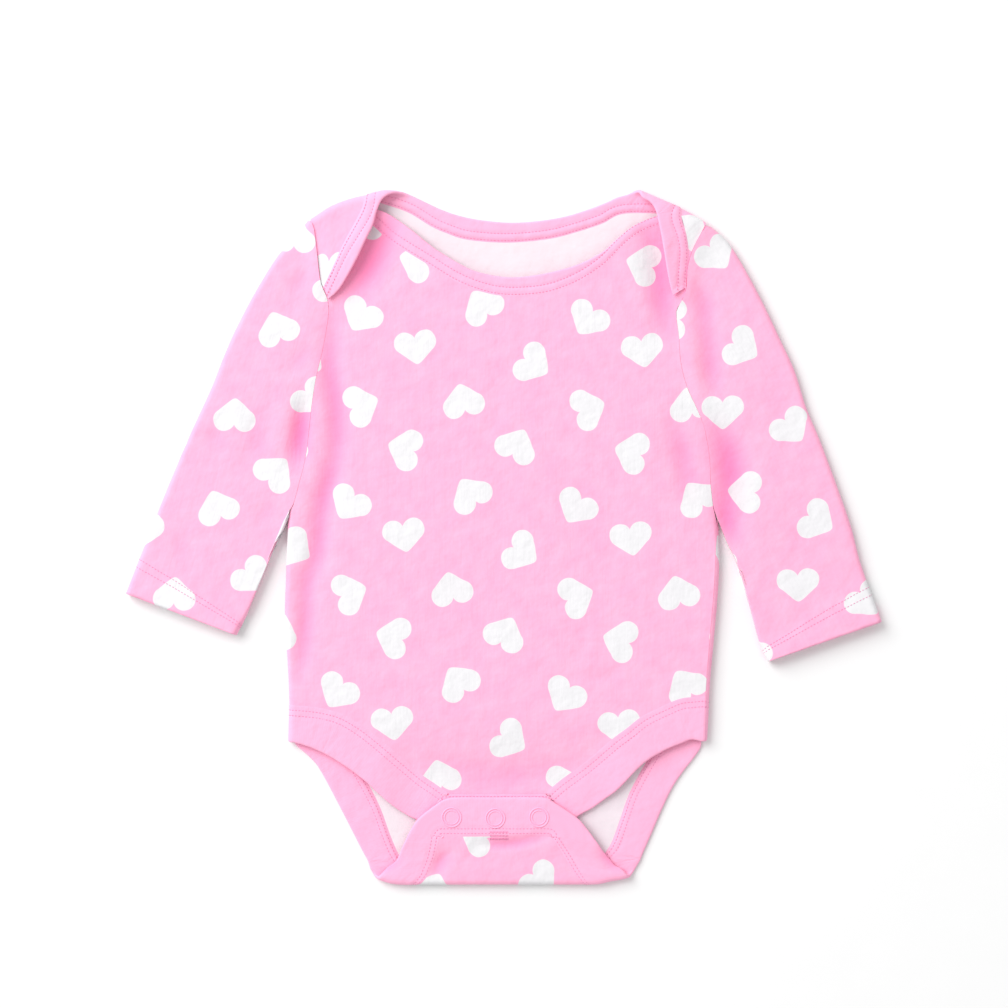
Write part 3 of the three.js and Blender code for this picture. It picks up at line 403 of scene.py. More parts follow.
def coons(top, bottom, left, right, shares=None):
    """Rows of points between four borders, from the left border to the right one; shares
    says how far down each row lies."""
    rows = []
    for v, at_left, at_right in zip(shares or steps(len(left) - 1), left, right):
        row = []
        for u, above, below in zip(steps(len(top) - 1), top, bottom):
            spot = above * (1 - v) + below * v + at_left * (1 - u) + at_right * u
            spot -= top[0] * (1 - u) * (1 - v) + top[-1] * u * (1 - v)
            row.append(spot - bottom[0] * (1 - u) * v - bottom[-1] * u * v)
        rows.append(row)
    return rows


def relaxed(rows, rounds):
    """The same rows with the points between the borders evened out."""
    spots = np.array([[(spot.x, spot.y) for spot in row] for row in rows])
    for _ in range(rounds):
        around = spots[:-2, 1:-1] + spots[2:, 1:-1] + spots[1:-1, :-2] + spots[1:-1, 2:]
        spots[1:-1, 1:-1] = around / 4
    return [[Vector(spot) for spot in row] for row in spots]


def faced(seam, edge, start, end):
    """Points of an edge straight across from those of a seam, eased over the first and last
    few rows so that the ends meet; without an end the rest of the edge is given too."""
    count, fine = len(seam) - 1, resampled(edge, EDGE_FINENESS)
    made, k, t = [], 0, 0
    for i, spot in enumerate(seam):
        ahead = (seam[min(i + 1, count)] - seam[max(i - 1, 0)]).normalized()
        while k < EDGE_FINENESS - 1 and (fine[k + 1] - spot).dot(ahead) < 0:
            k += 1
        low, high = ((fine[n] - spot).dot(ahead) for n in (k, k + 1))
        beyond = min(max(-low / (high - low), 0), 1) if high != low else 0
        across = (k + beyond) / EDGE_FINENESS
        share = ramp(i, 0, start) * (ramp(count - i, 0, end) if end else 1)
        t = max(t, between(i / count, across, share)) if i else 0
        place = min(int(t * EDGE_FINENESS), EDGE_FINENESS - 1)
        made.append(between(fine[place], fine[place + 1], t * EDGE_FINENESS - place))
    return made if end else (made, [made[-1], *fine[int(t * EDGE_FINENESS) + 1 :]])


# Folds and panels.


class Fold:
    """A fold of the cloth, with its outline as it lies and the radius of its bend."""

    def __init__(self, outline, degrees, bend, outer):
        angle = math.radians(degrees)
        self.out = Vector((math.cos(angle), math.sin(angle)))
        self.along = Vector((self.out.y, -self.out.x))
        spots = [plan(row) for row in outline]
        self.silhouette = profile([(spot.dot(self.along), spot.dot(self.out)) for spot in spots])
        self.bend = bend
        self.outer = outer
        self.half_turn = math.pi * bend

    def start(self, station):
        return self.silhouette(station) - self.outer

    def past(self, spot):
        return spot.dot(self.out) - self.start(spot.dot(self.along))

    def at(self, spot, past):
        """The cloth point beside spot at a distance past the start of the bend."""
        station = spot.dot(self.along)
        return self.out * (self.start(station) + past) + self.along * station

    def unfolded(self, row):
        """The cloth point that lies, folded over, above or under a point of the plan."""
        spot = plan(row)
        return self.at(spot, self.half_turn - self.past(spot))


SHOULDER_DEGREES = {"left": 109.5, "right": 61.5}
SIDE_DEGREES = {"left": 180, "right": 0}
SEAM_SHIFT = {side: profile(SIDE_SEAM[side]) for side in SIDES}
SIDE_FOLD_TOP = 20  # the side folds end here, at the armpits
TAB_DROP_DOWN = (92, 138)  # distances down from the middle where the front sinks
TAB_DROP_ASIDE = (-74, -46)
FLAP_RISE = (-180, -162)


def tab_drop(spot):
    """The front sinks towards its tab under the crotch flap."""
    fall = ramp(-spot.y, *TAB_DROP_DOWN) * ramp(-abs(spot.x), *TAB_DROP_ASIDE)
    return (FRONT_LEVEL - TAB_LEVEL) * fall


def flap_rise(y):
    """The crotch flap rises towards its placket."""
    return (FLAP_LEVEL - FRONT_LEVEL) * ramp(y, *FLAP_RISE)


class Panel:
    """The front or the back, cut in one plane and bent over its folds."""

    def __init__(self, name, level, turn, shoulder_bend):
        self.name, self.level, self.turn = name, level, turn
        self.shoulder = {
            side: Fold(SHOULDER_FOLD[side], SHOULDER_DEGREES[side], shoulder_bend, FLAP_OUTER)
            for side in SIDES
        }
        self.side = {
            side: Fold(SIDE_FOLD[side], SIDE_DEGREES[side], BODY_BEND, BODY_OUTER)
            for side in SIDES
        }
        self.crotch = None
        if name == "back":
            self.crotch = Fold(CROTCH_FOLD, -90, BODY_BEND, BODY_OUTER)

    def seam_past(self, side, y):
        """How far round the side fold the side seam lies."""
        return self.side[side].half_turn / 2 - self.turn * SEAM_SHIFT[side](y) - SEAM_GAP / 2

    def laid(self, spot, height):
        """A cloth point, at a height from the middle of the wall to the garment's outside."""
        drop = tab_drop(spot) if self.name == "front" else 0
        folds = [*self.shoulder.values()]
        if spot.y < SIDE_FOLD_TOP:
            folds += self.side.values()
        if self.crotch:
            folds.append(self.crotch)
        for fold in folds:
            past = fold.past(spot)
            if past <= 0:
                continue
            angle = min(past / fold.bend, math.pi)
            radius = fold.bend + height
            over = max(past - fold.half_turn, 0)
            station = spot.dot(fold.along)
            across = fold.start(station) + radius * math.sin(angle) - over
            place = fold.out * across + fold.along * station
            rise = flap_rise(place.y) if fold is self.crotch and over > 0 else 0
            share = (1 - math.cos(angle)) / 2
            z = self.level + self.turn * fold.bend - self.turn * radius * math.cos(angle)
            return Vector((place.x, place.y, z + rise - drop * (1 - share)))
        return Vector((spot.x, spot.y, self.level - self.turn * height - drop))


FRONT = Panel("front", FRONT_LEVEL, -1, INNER_BEND)
BACK = Panel("back", BACK_LEVEL, 1, FLAP_BEND)

ARMHOLE_STEPS = 62
SIDE_STEPS = 52
LEG_STEPS = 84
SHOULDER_STEPS = 10
NECK_STEPS = 100
TURN_STEPS = 9
FLAP_STEPS = 18
FRONT_TIP_STEPS = 16
BACK_TIP_STEPS = 26
EDGE_STEPS = 300
EVENING_ROUNDS = 500


def side_start(panel, side, y):
    return panel.side[side].at(Vector((0, y)), 0)


ARMHOLE_LINE = {}
for side in SIDES:
    fold = BACK.shoulder[side]
    top = fold.at(plan(ARMHOLE_TOP[side]), 0)
    foot = side_start(BACK, side, SIDE_TOP[side])
    ARMHOLE_LINE[side] = curve([top, *ARMHOLE[side], foot], ARMHOLE_STEPS)


def edge_at(fold, edge, past):
    """Where an edge crosses the line at a distance past the start of a fold."""
    return min(curve(edge, EDGE_STEPS), key=lambda spot: abs(fold.past(spot) - past))


def after_past(fold, edge, past):
    return [edge_at(fold, edge, past), *(s for s in map(plan, edge) if fold.past(s) > past + 1)]


def flap_rows(fold, base, left_edge, right_edge, tip_steps):
    """Rows over a fold: round its bend, then on to the tip."""
    rows = [base]
    shares = steps(len(base) - 1)
    for turn in steps(TURN_STEPS)[1:]:
        past = turn * fold.half_turn
        left, right = edge_at(fold, left_edge, past), edge_at(fold, right_edge, past)
        rows.append([fold.at(between(left, right, t), past) for t in shares])
    bent = rows[-1]
    bulge = [spot - between(bent[0], bent[-1], t) for t, spot in zip(shares, bent)]
    reach = [after_past(fold, edge, fold.half_turn) for edge in (left_edge, right_edge)]
    edges = [curve(edge, tip_steps) for edge in reach]
    for done, left, right in list(zip(steps(tip_steps), *edges))[1:]:
        rows.append([between(left, right, t) + more * (1 - done) for t, more in zip(shares, bulge)])
    return rows


def side_strip(panel, side, inner):
    """The strip of a panel round the side, from the start of the bend to the seam."""
    foot = inner[-1].y
    rows = []
    for t, spot in zip(steps(len(inner) - 1), inner):
        y = ARMPIT_Y[side] + (foot - ARMPIT_Y[side]) * t
        outer = panel.side[side].at(Vector((0, y)), panel.seam_past(side, y))
        rows.append([between(spot, outer, u) for u in steps(TURN_STEPS)])
    return rows


def panel_cut(panel, necks, neck_rows, neck_tips, armhole_tips, leg_top, legs, tip_steps):
    """The patches of a panel, and the lines that its ribs are sewn to."""
    part = {}
    for side in SIDES:
        fold = panel.shoulder[side]
        foot = leg_top[side]
        starts = [
            side_start(panel, side, SIDE_TOP[side] + (foot - SIDE_TOP[side]) * t)
            for t in steps(SIDE_STEPS)
        ]
        top = ARMHOLE_LINE[side][0]
        neck = fold.at(plan(necks[side]), 0)
        leg_rows = [starts[-1], *legs[side]]
        flap = None
        if panel.crotch:
            crotch = panel.crotch.at(Vector((CROTCH_SEAM[side], 0)), 0)
            leg_rows.append(crotch)
            flap = [crotch, *(panel.crotch.unfolded(row) for row in FLAP_LEG[side])]
        part[side] = {
            "starts": starts,
            "shoulder": [fold.at(between(top, neck, t), 0) for t in steps(SHOULDER_STEPS)],
            "armhole_edge": [top, *(fold.unfolded(row) for row in armhole_tips[side])],
            "neck_edge": [neck, *(fold.unfolded(row) for row in neck_tips[side])],
            "leg": curve(leg_rows, LEG_STEPS),
            "flap": flap,
        }
    left, right = part["left"], part["right"]
    neck = curve([left["shoulder"][-1], *neck_rows, right["shoulder"][-1]], NECK_STEPS)
    top = left["shoulder"] + neck[1:-1] + right["shoulder"][::-1]
    count = len(top) - 1
    base = [between(left["leg"][-1], right["leg"][-1], t) for t in steps(count)]
    if panel.crotch:
        base = [panel.crotch.at(spot, 0) for spot in base]
    borders = [
        ARMHOLE_LINE[side] + part[side]["starts"][1:] + part[side]["leg"][1:] for side in SIDES
    ]
    heights = [(a.y + b.y) / 2 for a, b in zip(*borders)]
    shares = [(heights[0] - y) / (heights[0] - heights[-1]) for y in heights]
    patches = [relaxed(coons(top, base, *borders, shares), EVENING_ROUNDS)]
    for side in SIDES:
        rows = part[side]
        edges = (rows["armhole_edge"], rows["neck_edge"])
        patches.append(flap_rows(panel.shoulder[side], rows["shoulder"], *edges, tip_steps))
        patches.append(side_strip(panel, side, rows["starts"]))
    if panel.crotch:
        patches.append(flap_rows(panel.crotch, base, left["flap"], right["flap"], FLAP_STEPS))
    return patches, part, neck


armhole_tips_back = {side: ARMHOLE[side][: FLAP_ROWS[side]] for side in SIDES}
armhole_tips_front = {side: [ARMHOLE_TIP_FRONT[side]] for side in SIDES}
neck_tips_front = {side: [NECK_TIP_FRONT[side]] for side in SIDES}
front_patches, front_part, front_neck = panel_cut(
    FRONT, NECK_TOP_FRONT, FRONT_NECK, neck_tips_front, armhole_tips_front,
    LEG_TOP_FRONT, FRONT_LEG, FRONT_TIP_STEPS,
)
back_patches, back_part, back_neck = panel_cut(
    BACK, NECK_TOP_BACK, BACK_NECK, FLAP_NECK, armhole_tips_back,
    LEG_TOP_BACK, BACK_LEG, BACK_TIP_STEPS,
)

# Pieces.

CREASE_STEPS = 12  # straight pieces of a crease
CREASE_FADE = 0.12  # share of a half wave that is left off a crease's depth at each end
CREASE_STEEP = 1.6
BETWEEN_LAYERS = 2.6  # height between the front's layer and the back's
UPPER_REACH = 2.2
LOWER_REACH = 1.8
# Heights from which, and over which, the flaps lift, are pressed down, and the sleeves'
# upper sides stand proud. What lies over the level of the flaps has no creases.
LIFTED = (4.4, 2)
PRESSED = (5.4, 1.5)
PROUD = (4, 1.5)
FLAP_OVER = 5.6
# Distances from the seam over which it holds a flap down and stands proud itself.
SEWN_PRESSED = 7
SEWN_HELD = 13
SEWN_PROUD = 6
PROUD_BY = 1.5
LINE_STEPS = 20
TABLE_LEVEL = {"stitches": 0.02, "rib": 0.04}  # by the last word of a piece's name
CLOTH_TABLE_LEVEL = 0.25


def segments(table):
    """The creases as arrays of short segments with their widths and depths at both ends."""
    rows = []
    for line, width, depth in table:
        smooth = curve(line, CREASE_STEPS)
        waves = [between(CREASE_FADE, 1 - CREASE_FADE, t) for t in steps(CREASE_STEPS)]
        depths = [math.sin(math.pi * wave) * depth for wave in waves]
        for a, b, *ends in zip(smooth, smooth[1:], depths, depths[1:]):
            rows.append((*a, *b, width, *ends))
    return np.array(rows)


def line_share(xy, start, span):
    """How far along a straight piece each point lies beside it, and its distance from it."""
    away = xy - start
    t = np.clip(away @ span / (span @ span), 0, 1)
    return t, np.hypot(*(away - t[:, None] * span).T)


def crease_depth(table, xy):
    """Depth of the creases under each point, the deepest of each crease's segments."""
    total = np.zeros(len(xy))
    rows = segments(table)
    for first in range(0, len(rows), CREASE_STEPS):
        crease = np.zeros(len(xy))
        for x0, y0, x1, y1, width, d0, d1 in rows[first : first + CREASE_STEPS]:
            t, gap = line_share(xy, (x0, y0), np.array((x1 - x0, y1 - y0)))
            value = (d0 + (d1 - d0) * t) * np.exp(-CREASE_STEEP * (gap / width) ** 2)
            crease = np.where(np.abs(value) > np.abs(crease), value, crease)
        total += crease
    return total


def line_gap(line, xy):
    """Distance of each point from a line of points."""
    pieces = zip(line, line[1:])
    return np.min([line_share(xy, np.array(a), np.array(b - a))[1] for a, b in pieces], axis=0)


FLAP_ARMHOLE = {
    side: curve([ARMHOLE_TOP[side], *ARMHOLE[side][: FLAP_ROWS[side]]], LINE_STEPS)
    for side in SIDES
}


def risen(value, start, reach):
    """0 up to the start, then evenly up to 1 over the reach."""
    return np.clip((value - start) / reach, 0, 1)


def creased(points, name):
    """Presses the creases of the front into what lies above the middle and those of the back
    into what lies below it, and lifts the free edges of the back's flaps. Gives the points
    and how deep in a crease each one lies."""
    z, xy = points[:, 2], points[:, :2]
    down = crease_depth(FRONT_CREASES, xy) * risen(z, BETWEEN_LAYERS, UPPER_REACH)
    up = crease_depth(BACK_CREASES, xy) * risen(-z, -BETWEEN_LAYERS, LOWER_REACH)
    made = points.copy()
    sewn = np.minimum(*(line_gap(FLAP_ARMHOLE[side], xy) for side in SIDES))
    if name.startswith(("back_panel", "neck_binding_back")):
        # The flaps lift off the front but stay down where the armhole seam holds them.
        lift = -crease_depth(FLAP_LIFTS, xy) * risen(z, *LIFTED)
        pressed = (1 - risen(sewn, 0, SEWN_PRESSED)) * risen(z, *PRESSED)
        made[:, 2] += lift * risen(sewn, 0, SEWN_HELD) ** 1.5 - pressed
        down = np.where((z > FLAP_OVER) & (xy[:, 1] > 0), 0, down)
    made[:, 2] += up - down
    if name.startswith("sleeve"):
        # Beside the flaps the sleeves stand a little proud, as the seam there is thick.
        made[:, 2] += PROUD_BY * np.exp(-((sewn / SEWN_PROUD) ** 2)) * risen(z, *PROUD)
    # The underside lies flat on the table, the ribs and threads proud of the panels.
    level = TABLE_LEVEL.get(name.split("_")[-1], CLOTH_TABLE_LEVEL)
    made[:, 2] = np.maximum(made[:, 2], level)
    # The depths returned here are laid into the materials as painted shade in creases.
    return made, np.maximum(down, 0)


def finish_mesh(name, mesh, materials, replaced, wall=0):
    """Makes the object of a mesh that is in the garment's millimetres."""
    mesh.verts.ensure_lookup_table()
    points, depths = creased(np.array([vert.co for vert in mesh.verts]), name)
    for vert, spot in zip(mesh.verts, points):
        vert.co = (Vector(spot) + MIDDLE) * MM
    for face in mesh.faces:
        face.smooth = True
    for edge in mesh.edges:
        if edge.is_boundary:
            edge.smooth = False  # cut edges stay crisp
    data = bpy.data.meshes.new(name)
    mesh.to_mesh(data)
    mesh.free()
    # Each point's crease depth, which the materials turn into painted shade.
    data.attributes.new("hollow", "FLOAT", "POINT").data.foreach_set("value", depths)
    made = bpy.data.objects.new(name, data)
    bpy.context.scene.collection.objects.link(made)
    for material in materials:
        data.materials.append(material)
    if wall:
        thickness = made.modifiers.new("wall", "SOLIDIFY")
        thickness.thickness = wall * MM
        thickness.offset = -1
        thickness.material_offset = len(materials) - 1  # its inner side has the last one
    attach(made, "root")
    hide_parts(*replaced)
    return made


def add_grid(mesh, rows):
    """Adds a grid of faces through rows of points."""
    made = bmesh.ops.create_grid(
        mesh, x_segments=len(rows[0]) - 1, y_segments=len(rows) - 1, size=1
    )
    for vert, spot in zip(made["verts"], (spot for row in rows for spot in row)):
        vert.co = spot


def add_chart(mesh, charts):
    """Gives the mesh its chart of cloth, from each point's place in millimetres."""
    layer = mesh.loops.layers.uv.new("cloth")
    mesh.verts.index_update()
    for face in mesh.faces:
        for loop in face.loops:
            loop[layer].uv = charts[loop.vert.index] * MM


def panel_mesh(patches, panel, uv, upwards):
    """Patches of a panel bent over its folds, with the outside up or down."""
    mesh = bmesh.new()
    charts = []
    for rows in patches:
        add_grid(mesh, [[panel.laid(spot, HALF_WALL) for spot in row] for row in rows])
        charts += [uv(spot) for row in rows for spot in row]
    add_chart(mesh, charts)
    bmesh.ops.remove_doubles(mesh, verts=mesh.verts, dist=0.02)
    bmesh.ops.dissolve_degenerate(mesh, edges=mesh.edges, dist=0.01)
    bmesh.ops.recalc_face_normals(mesh, faces=mesh.faces)
    total = sum(face.normal.z * face.calc_area() for face in mesh.faces)
    if (total > 0) != upwards:
        bmesh.ops.reverse_faces(mesh, faces=mesh.faces)
    return mesh


# Finishes.

HEART_REPEAT_ACROSS = (124.8, -1.95)
HEART_REPEAT_UP = (-6.4, -103.5)
# Middle of each heart of the repeat on the front, in millimetres, and the way its tip points.
HEARTS = [
    (-48, 107, 278), (-77, 124, 238), (-10.5, 127, 124), (15.5, 97, 328),
    (-79, 73, 21), (-52.5, 49, 164), (-21.5, 74.5, 102), (7, 50, 65),
]
HEART_LOBE_APART = 5.6  # each lobe's middle from the heart's own middle line
HEART_LOBE_HIGH = 1.2
HEART_LOBE_RADIUS = 6.1
HEART_SIDE_DEGREES = 47  # between a side and the middle line
HEART_TIP_BLUNT = 1.7
INK_EDGE = 0.15
PAINTED_SHADE_DEPTHS = (0.25, 3.2)  # where painted shade in a crease starts, and where it is deepest
NOISE_SOFTNESS = 8.0  # spots and height of the cloth's own soft unevenness
# A real knit has about 0.75 mm from wale to wale and the rib 0.7 mm. Both are drawn about
# twice as coarse, because finer ones would flicker.
KNIT_PITCH = 1.5
RIB_PITCH = 1.4
THREAD_TWIST = 1 / 2.6
ENAMEL_CLOUD = 2
PAPER_GRAIN = 25

MATH = "ShaderNodeMath"
VECTOR = "ShaderNodeVectorMath"
JOIN = "ShaderNodeCombineXYZ"
NOISE = "ShaderNodeTexNoise"
RANGE = "ShaderNodeMapRange"


def linear(colour):
    """A colour written as sRGB hex, as linear red, green, blue and alpha."""
    parts = [int(colour[i : i + 2], 16) / 255 for i in (1, 3, 5)]
    made = [c / 12.92 if c <= 0.04045 else ((c + 0.055) / 1.055) ** 2.4 for c in parts]
    return (*made, 1)


def add_node(tree, kind, inputs=(), output=0, **settings):
    """Adds a node with its settings and links and gives one of its outputs. Each input, in
    order or by name, is a value or the output that goes into it."""
    node = tree.nodes.new(kind)
    for key, value in settings.items():
        setattr(node, key, value)
    for key, value in inputs.items() if isinstance(inputs, dict) else enumerate(inputs):
        if isinstance(value, bpy.types.NodeSocket):
            tree.links.new(value, node.inputs[key])
        else:
            node.inputs[key].default_value = value
    return node.outputs[output] if len(node.outputs) else None


def weighed(tree, a, share_a, b, share_b):
    """a times its share plus b times its share."""
    more = add_node(tree, MATH, (b, share_b), operation="MULTIPLY")
    return add_node(tree, MATH, (a, share_a, more), operation="MULTIPLY_ADD")


def shader_tree(name):
    material = bpy.data.materials.new(name)
    material.use_nodes = True
    tree = material.node_tree
    tree.nodes.clear()
    return material, tree


def heart_group():
    """One heart of the repeat: how far, in millimetres, a place on the cloth lies outside it."""
    group = bpy.data.node_groups.new("heart", "ShaderNodeTree")
    for name in ("place", "middle", "sideways", "upwards"):
        group.interface.new_socket(name, in_out="INPUT", socket_type="NodeSocketVector")
    group.interface.new_socket("shape", in_out="OUTPUT", socket_type="NodeSocketFloat")
    source = group.nodes.new("NodeGroupInput").outputs
    away = add_node(group, VECTOR, (source["place"], source["middle"]), operation="SUBTRACT")
    share = add_node(group, VECTOR, (away,), operation="FRACTION")
    near = add_node(group, VECTOR, (share, (0.5, 0.5, 0.5)), operation="SUBTRACT")
    x, y = (
        add_node(group, VECTOR, (near, source[way]), "Value", operation="DOT_PRODUCT")
        for way in ("sideways", "upwards")
    )
    wide = add_node(group, MATH, (x,), operation="ABSOLUTE")
    across = add_node(group, MATH, (wide, HEART_LOBE_APART), operation="SUBTRACT")
    up = add_node(group, MATH, (y, HEART_LOBE_HIGH), operation="SUBTRACT")
    from_lobe = add_node(group, JOIN, (across, up))
    from_lobe = add_node(group, VECTOR, (from_lobe,), "Value", operation="LENGTH")
    lobe = add_node(group, MATH, (from_lobe, HEART_LOBE_RADIUS), operation="SUBTRACT")
    square = add_node(group, MATH, (x, x, HEART_TIP_BLUNT**2), operation="MULTIPLY_ADD")
    softened = add_node(group, MATH, (square,), operation="SQRT")
    aside = add_node(group, MATH, (softened, HEART_LOBE_APART), operation="SUBTRACT")
    angle = math.radians(HEART_SIDE_DEGREES)
    side = weighed(group, aside, math.cos(angle), up, -math.sin(angle))
    side = add_node(group, MATH, (side, HEART_LOBE_RADIUS), operation="SUBTRACT")
    towards_top = weighed(group, across, math.sin(angle), up, math.cos(angle))
    point = add_node(group, MATH, (side, towards_top), operation="MAXIMUM")
    point = add_node(group, MATH, (point, up), operation="MAXIMUM")
    shape = add_node(group, MATH, (lobe, point), operation="MINIMUM")
    add_node(group, "NodeGroupOutput", {"shape": shape})
    return group


def print_mask(tree, cloth):
    """1 inside the printed hearts, 0 on the pink ground, from the place on the cloth in mm."""
    (ax, ay), (bx, by) = HEART_REPEAT_ACROSS, HEART_REPEAT_UP
    area = ax * by - ay * bx
    shares = (
        add_node(tree, VECTOR, (cloth, way), "Value", operation="DOT_PRODUCT")
        for way in ((by / area, -bx / area, 0), (-ay / area, ax / area, 0))
    )
    place = add_node(tree, JOIN, (*shares,))
    group = heart_group()
    nearest = None
    for x, y, tip in HEARTS:
        turn = math.radians(tip + 90)
        cos, sin = math.cos(turn), math.sin(turn)
        heart = {
            "place": place,
            "middle": ((x * by - y * bx) / area - 0.5, (y * ax - x * ay) / area - 0.5, 0),
            "sideways": (ax * cos + ay * sin, bx * cos + by * sin, 0),
            "upwards": (-ax * sin + ay * cos, -bx * sin + by * cos, 0),
        }
        shape = add_node(tree, "ShaderNodeGroup", heart, "shape", node_tree=group)
        if nearest:
            shape = add_node(tree, MATH, (nearest, shape), operation="MINIMUM")
        nearest = shape
    return add_node(tree, RANGE, (nearest, INK_EDGE, -INK_EDGE, 0.0, 1.0))


def cloth_place(tree):
    """The place on the cloth in millimetres."""
    flat = add_node(tree, "ShaderNodeUVMap", uv_map="cloth")
    return add_node(tree, VECTOR, {0: flat, "Scale": 1 / MM}, operation="SCALE")


def noise(tree, place, size, stretch=(1, 1, 1), detail=2.0):
    """Soft noise with spots of about size millimetres, stretched along the cloth."""
    scaled = add_node(tree, VECTOR, (place, stretch), operation="MULTIPLY")
    return add_node(tree, NOISE, {"Vector": scaled, "Scale": 1 / size, "Detail": detail})


def grain(tree, size):
    """Noise that stays with the piece itself, with spots of about size millimetres."""
    place = add_node(tree, "ShaderNodeTexCoord", output="Object")
    return add_node(tree, NOISE, {"Vector": place, "Scale": 1 / (size * MM)})


def knit_height(tree, place, pitch, height, base):
    """A knit's upright ribs, as a height over a base."""
    across = add_node(tree, "ShaderNodeSeparateXYZ", (place,))
    turns = add_node(tree, MATH, (across, 2 * math.pi / pitch), operation="MULTIPLY")
    wave = add_node(tree, MATH, (turns,), operation="SINE")
    return add_node(tree, MATH, (wave, height, base), operation="MULTIPLY_ADD")


def unevenness(tree, place):
    """Soft small dents, as a height."""
    soft = noise(tree, place, NOISE_SOFTNESS)
    return add_node(tree, MATH, (soft, NOISE_SOFTNESS), operation="MULTIPLY")


def hollow(tree, strength):
    """Painted shade in a crease: how much deeper the colour is painted there, standing in for the
    light that bounces between its two walls and meets the dye twice."""
    depth = add_node(tree, "ShaderNodeAttribute", output="Fac", attribute_name="hollow")
    return add_node(tree, RANGE, (depth, *PAINTED_SHADE_DEPTHS, 0.0, strength))


def layered(tree, colour, *layers):
    """A colour with others laid over it, each as far as its mask says."""
    for mask, over in layers:
        sockets = {0: mask, 6: colour, 7: over}
        colour = add_node(tree, "ShaderNodeMix", sockets, 2, data_type="RGBA")
    return colour


def surface(tree, colour, height, distance, roughness=0.86, sheen=0.25):
    """The surface of every material: its colour, its relief and how matt it is."""
    relief = {"Height": height, "Distance": distance, "Strength": 0.5}
    shader = {
        "Base Color": colour,
        "Roughness": roughness,
        "Specular IOR Level": 0.25,
        "Sheen Weight": sheen,
        "Sheen Roughness": 0.5,
        "Normal": add_node(tree, "ShaderNodeBump", relief),
    }
    made = add_node(tree, "ShaderNodeBsdfPrincipled", shader)
    add_node(tree, "ShaderNodeOutputMaterial", {"Surface": made})


def printed_jersey():
    """Cotton interlock with a water print: the ground is pink, the hearts are the bare cloth, and
    the eye gets fine slubs, a soft nap and slightly uneven ink. Both get painted shade, deeper in
    the creases."""
    material, tree = shader_tree("cotton_jersey_printed")
    place = cloth_place(tree)
    wobble = noise(tree, place, 9.0, detail=1.0)
    bent = add_node(tree, VECTOR, {0: wobble, "Scale": 0.9}, operation="SCALE")
    mask = print_mask(tree, add_node(tree, VECTOR, (place, bent), operation="ADD"))
    patchy = noise(tree, place, 11.0, detail=4.0)
    slub = noise(tree, place, 1.6, stretch=(1, 0.12, 1))
    fleck = add_node(tree, MATH, (slub, 0.25), operation="MULTIPLY")
    ink = layered(
        tree, linear("#f99ec4"), (patchy, linear("#feb7d4")), (fleck, linear("#fdbad6")),
        # painted shade: the pink ground is painted deeper in creases
        (hollow(tree, 1.0), linear("#f97fb4")),
    )
    bare = layered(
        tree, linear("#dfdde0"), (patchy, linear("#e4e3e5")),
        # painted shade: the bare hearts are painted pinker in creases
        (hollow(tree, 0.6), linear("#d9bccb")),
    )
    knit = knit_height(tree, place, KNIT_PITCH, 0.03, slub)
    height = add_node(tree, MATH, (knit, unevenness(tree, place)), operation="ADD")
    surface(tree, layered(tree, ink, (mask, bare)), height, 0.0002)
    return material


def jersey_reverse():
    """The unprinted side of the same cloth: near white, with a breath of pink from the ink."""
    material, tree = shader_tree("cotton_jersey_reverse")
    place = cloth_place(tree)
    patchy = noise(tree, place, 22.0, detail=3.0)
    colour = layered(tree, linear("#e3d4dc"), (patchy, linear("#e7dee3")))
    surface(tree, colour, noise(tree, place, 7.0), 0.001)
    return material


def rib_cloth():
    """Dyed cotton rib: solid pink close to the print's, with fine ribs that hardly show, and
    painted shade deepening it in creases.
    """
    material, tree = shader_tree("cotton_rib_dyed")
    place = cloth_place(tree)
    patchy = noise(tree, place, 18.0, detail=3.0)
    colour = layered(
        tree, linear("#fba9cb"), (patchy, linear("#feb5d5")),
        # painted shade: the rib is painted deeper in creases
        (hollow(tree, 1.0), linear("#f97fb4")),
    )
    height = knit_height(tree, place, RIB_PITCH, 0.08, unevenness(tree, place))
    surface(tree, colour, height, 0.0002)
    return material


def sewing_thread():
    """Matt polyester thread, a tone darker than the cloth so that the rows can be read."""
    material, tree = shader_tree("polyester_thread")
    twist = grain(tree, THREAD_TWIST)
    colour = layered(tree, linear("#de80ad"), (twist, linear("#ec98c2")))
    surface(tree, colour, twist, 0.00005, roughness=0.7)
    return material


def snap_enamel():
    """Pressed steel ring with baked pink enamel: smooth, with a soft glint."""
    material, tree = shader_tree("enamelled_steel")
    cloudy = grain(tree, ENAMEL_CLOUD)
    colour = layered(tree, linear("#fcacd0"), (cloudy, linear("#fdb8d8")))
    surface(tree, colour, cloudy, 0.00002, roughness=0.35, sheen=0.0)
    return material


def floor_paper():
    """Matt white paper: an even pale ground, as in the photo, with a barely seen grain."""
    material, tree = shader_tree("matt_white_paper")
    speck = grain(tree, PAPER_GRAIN)
    colour = layered(tree, linear("#ebebeb"), (speck, linear("#ededed")))
    surface(tree, colour, speck, 0.0001, roughness=0.95, sheen=0.0)
    return material


PRINTED = printed_jersey()
REVERSE = jersey_reverse()
RIB = rib_cloth()
THREAD = sewing_thread()
ENAMEL = snap_enamel()


def chart(degrees, x, y, mirrored=False):
    """How the print lies on a piece: its cloth turned and moved onto the chart of hearts."""
    turn = Matrix.Rotation(math.radians(degrees), 2)
    middle = Vector((x, y))

    def place(spot):
        flat = Vector((-spot.x, spot.y)) if mirrored else Vector((spot.x, spot.y))
        return turn @ flat + middle

    return place


FRONT_CHART = chart(0, 0, 0)
BACK_CHART = chart(348, 48.3, 314.2, mirrored=True)
SLEEVE_CHART = {"left": chart(15, 138.1, 48.6), "right": chart(153, 146.3, 58.0)}

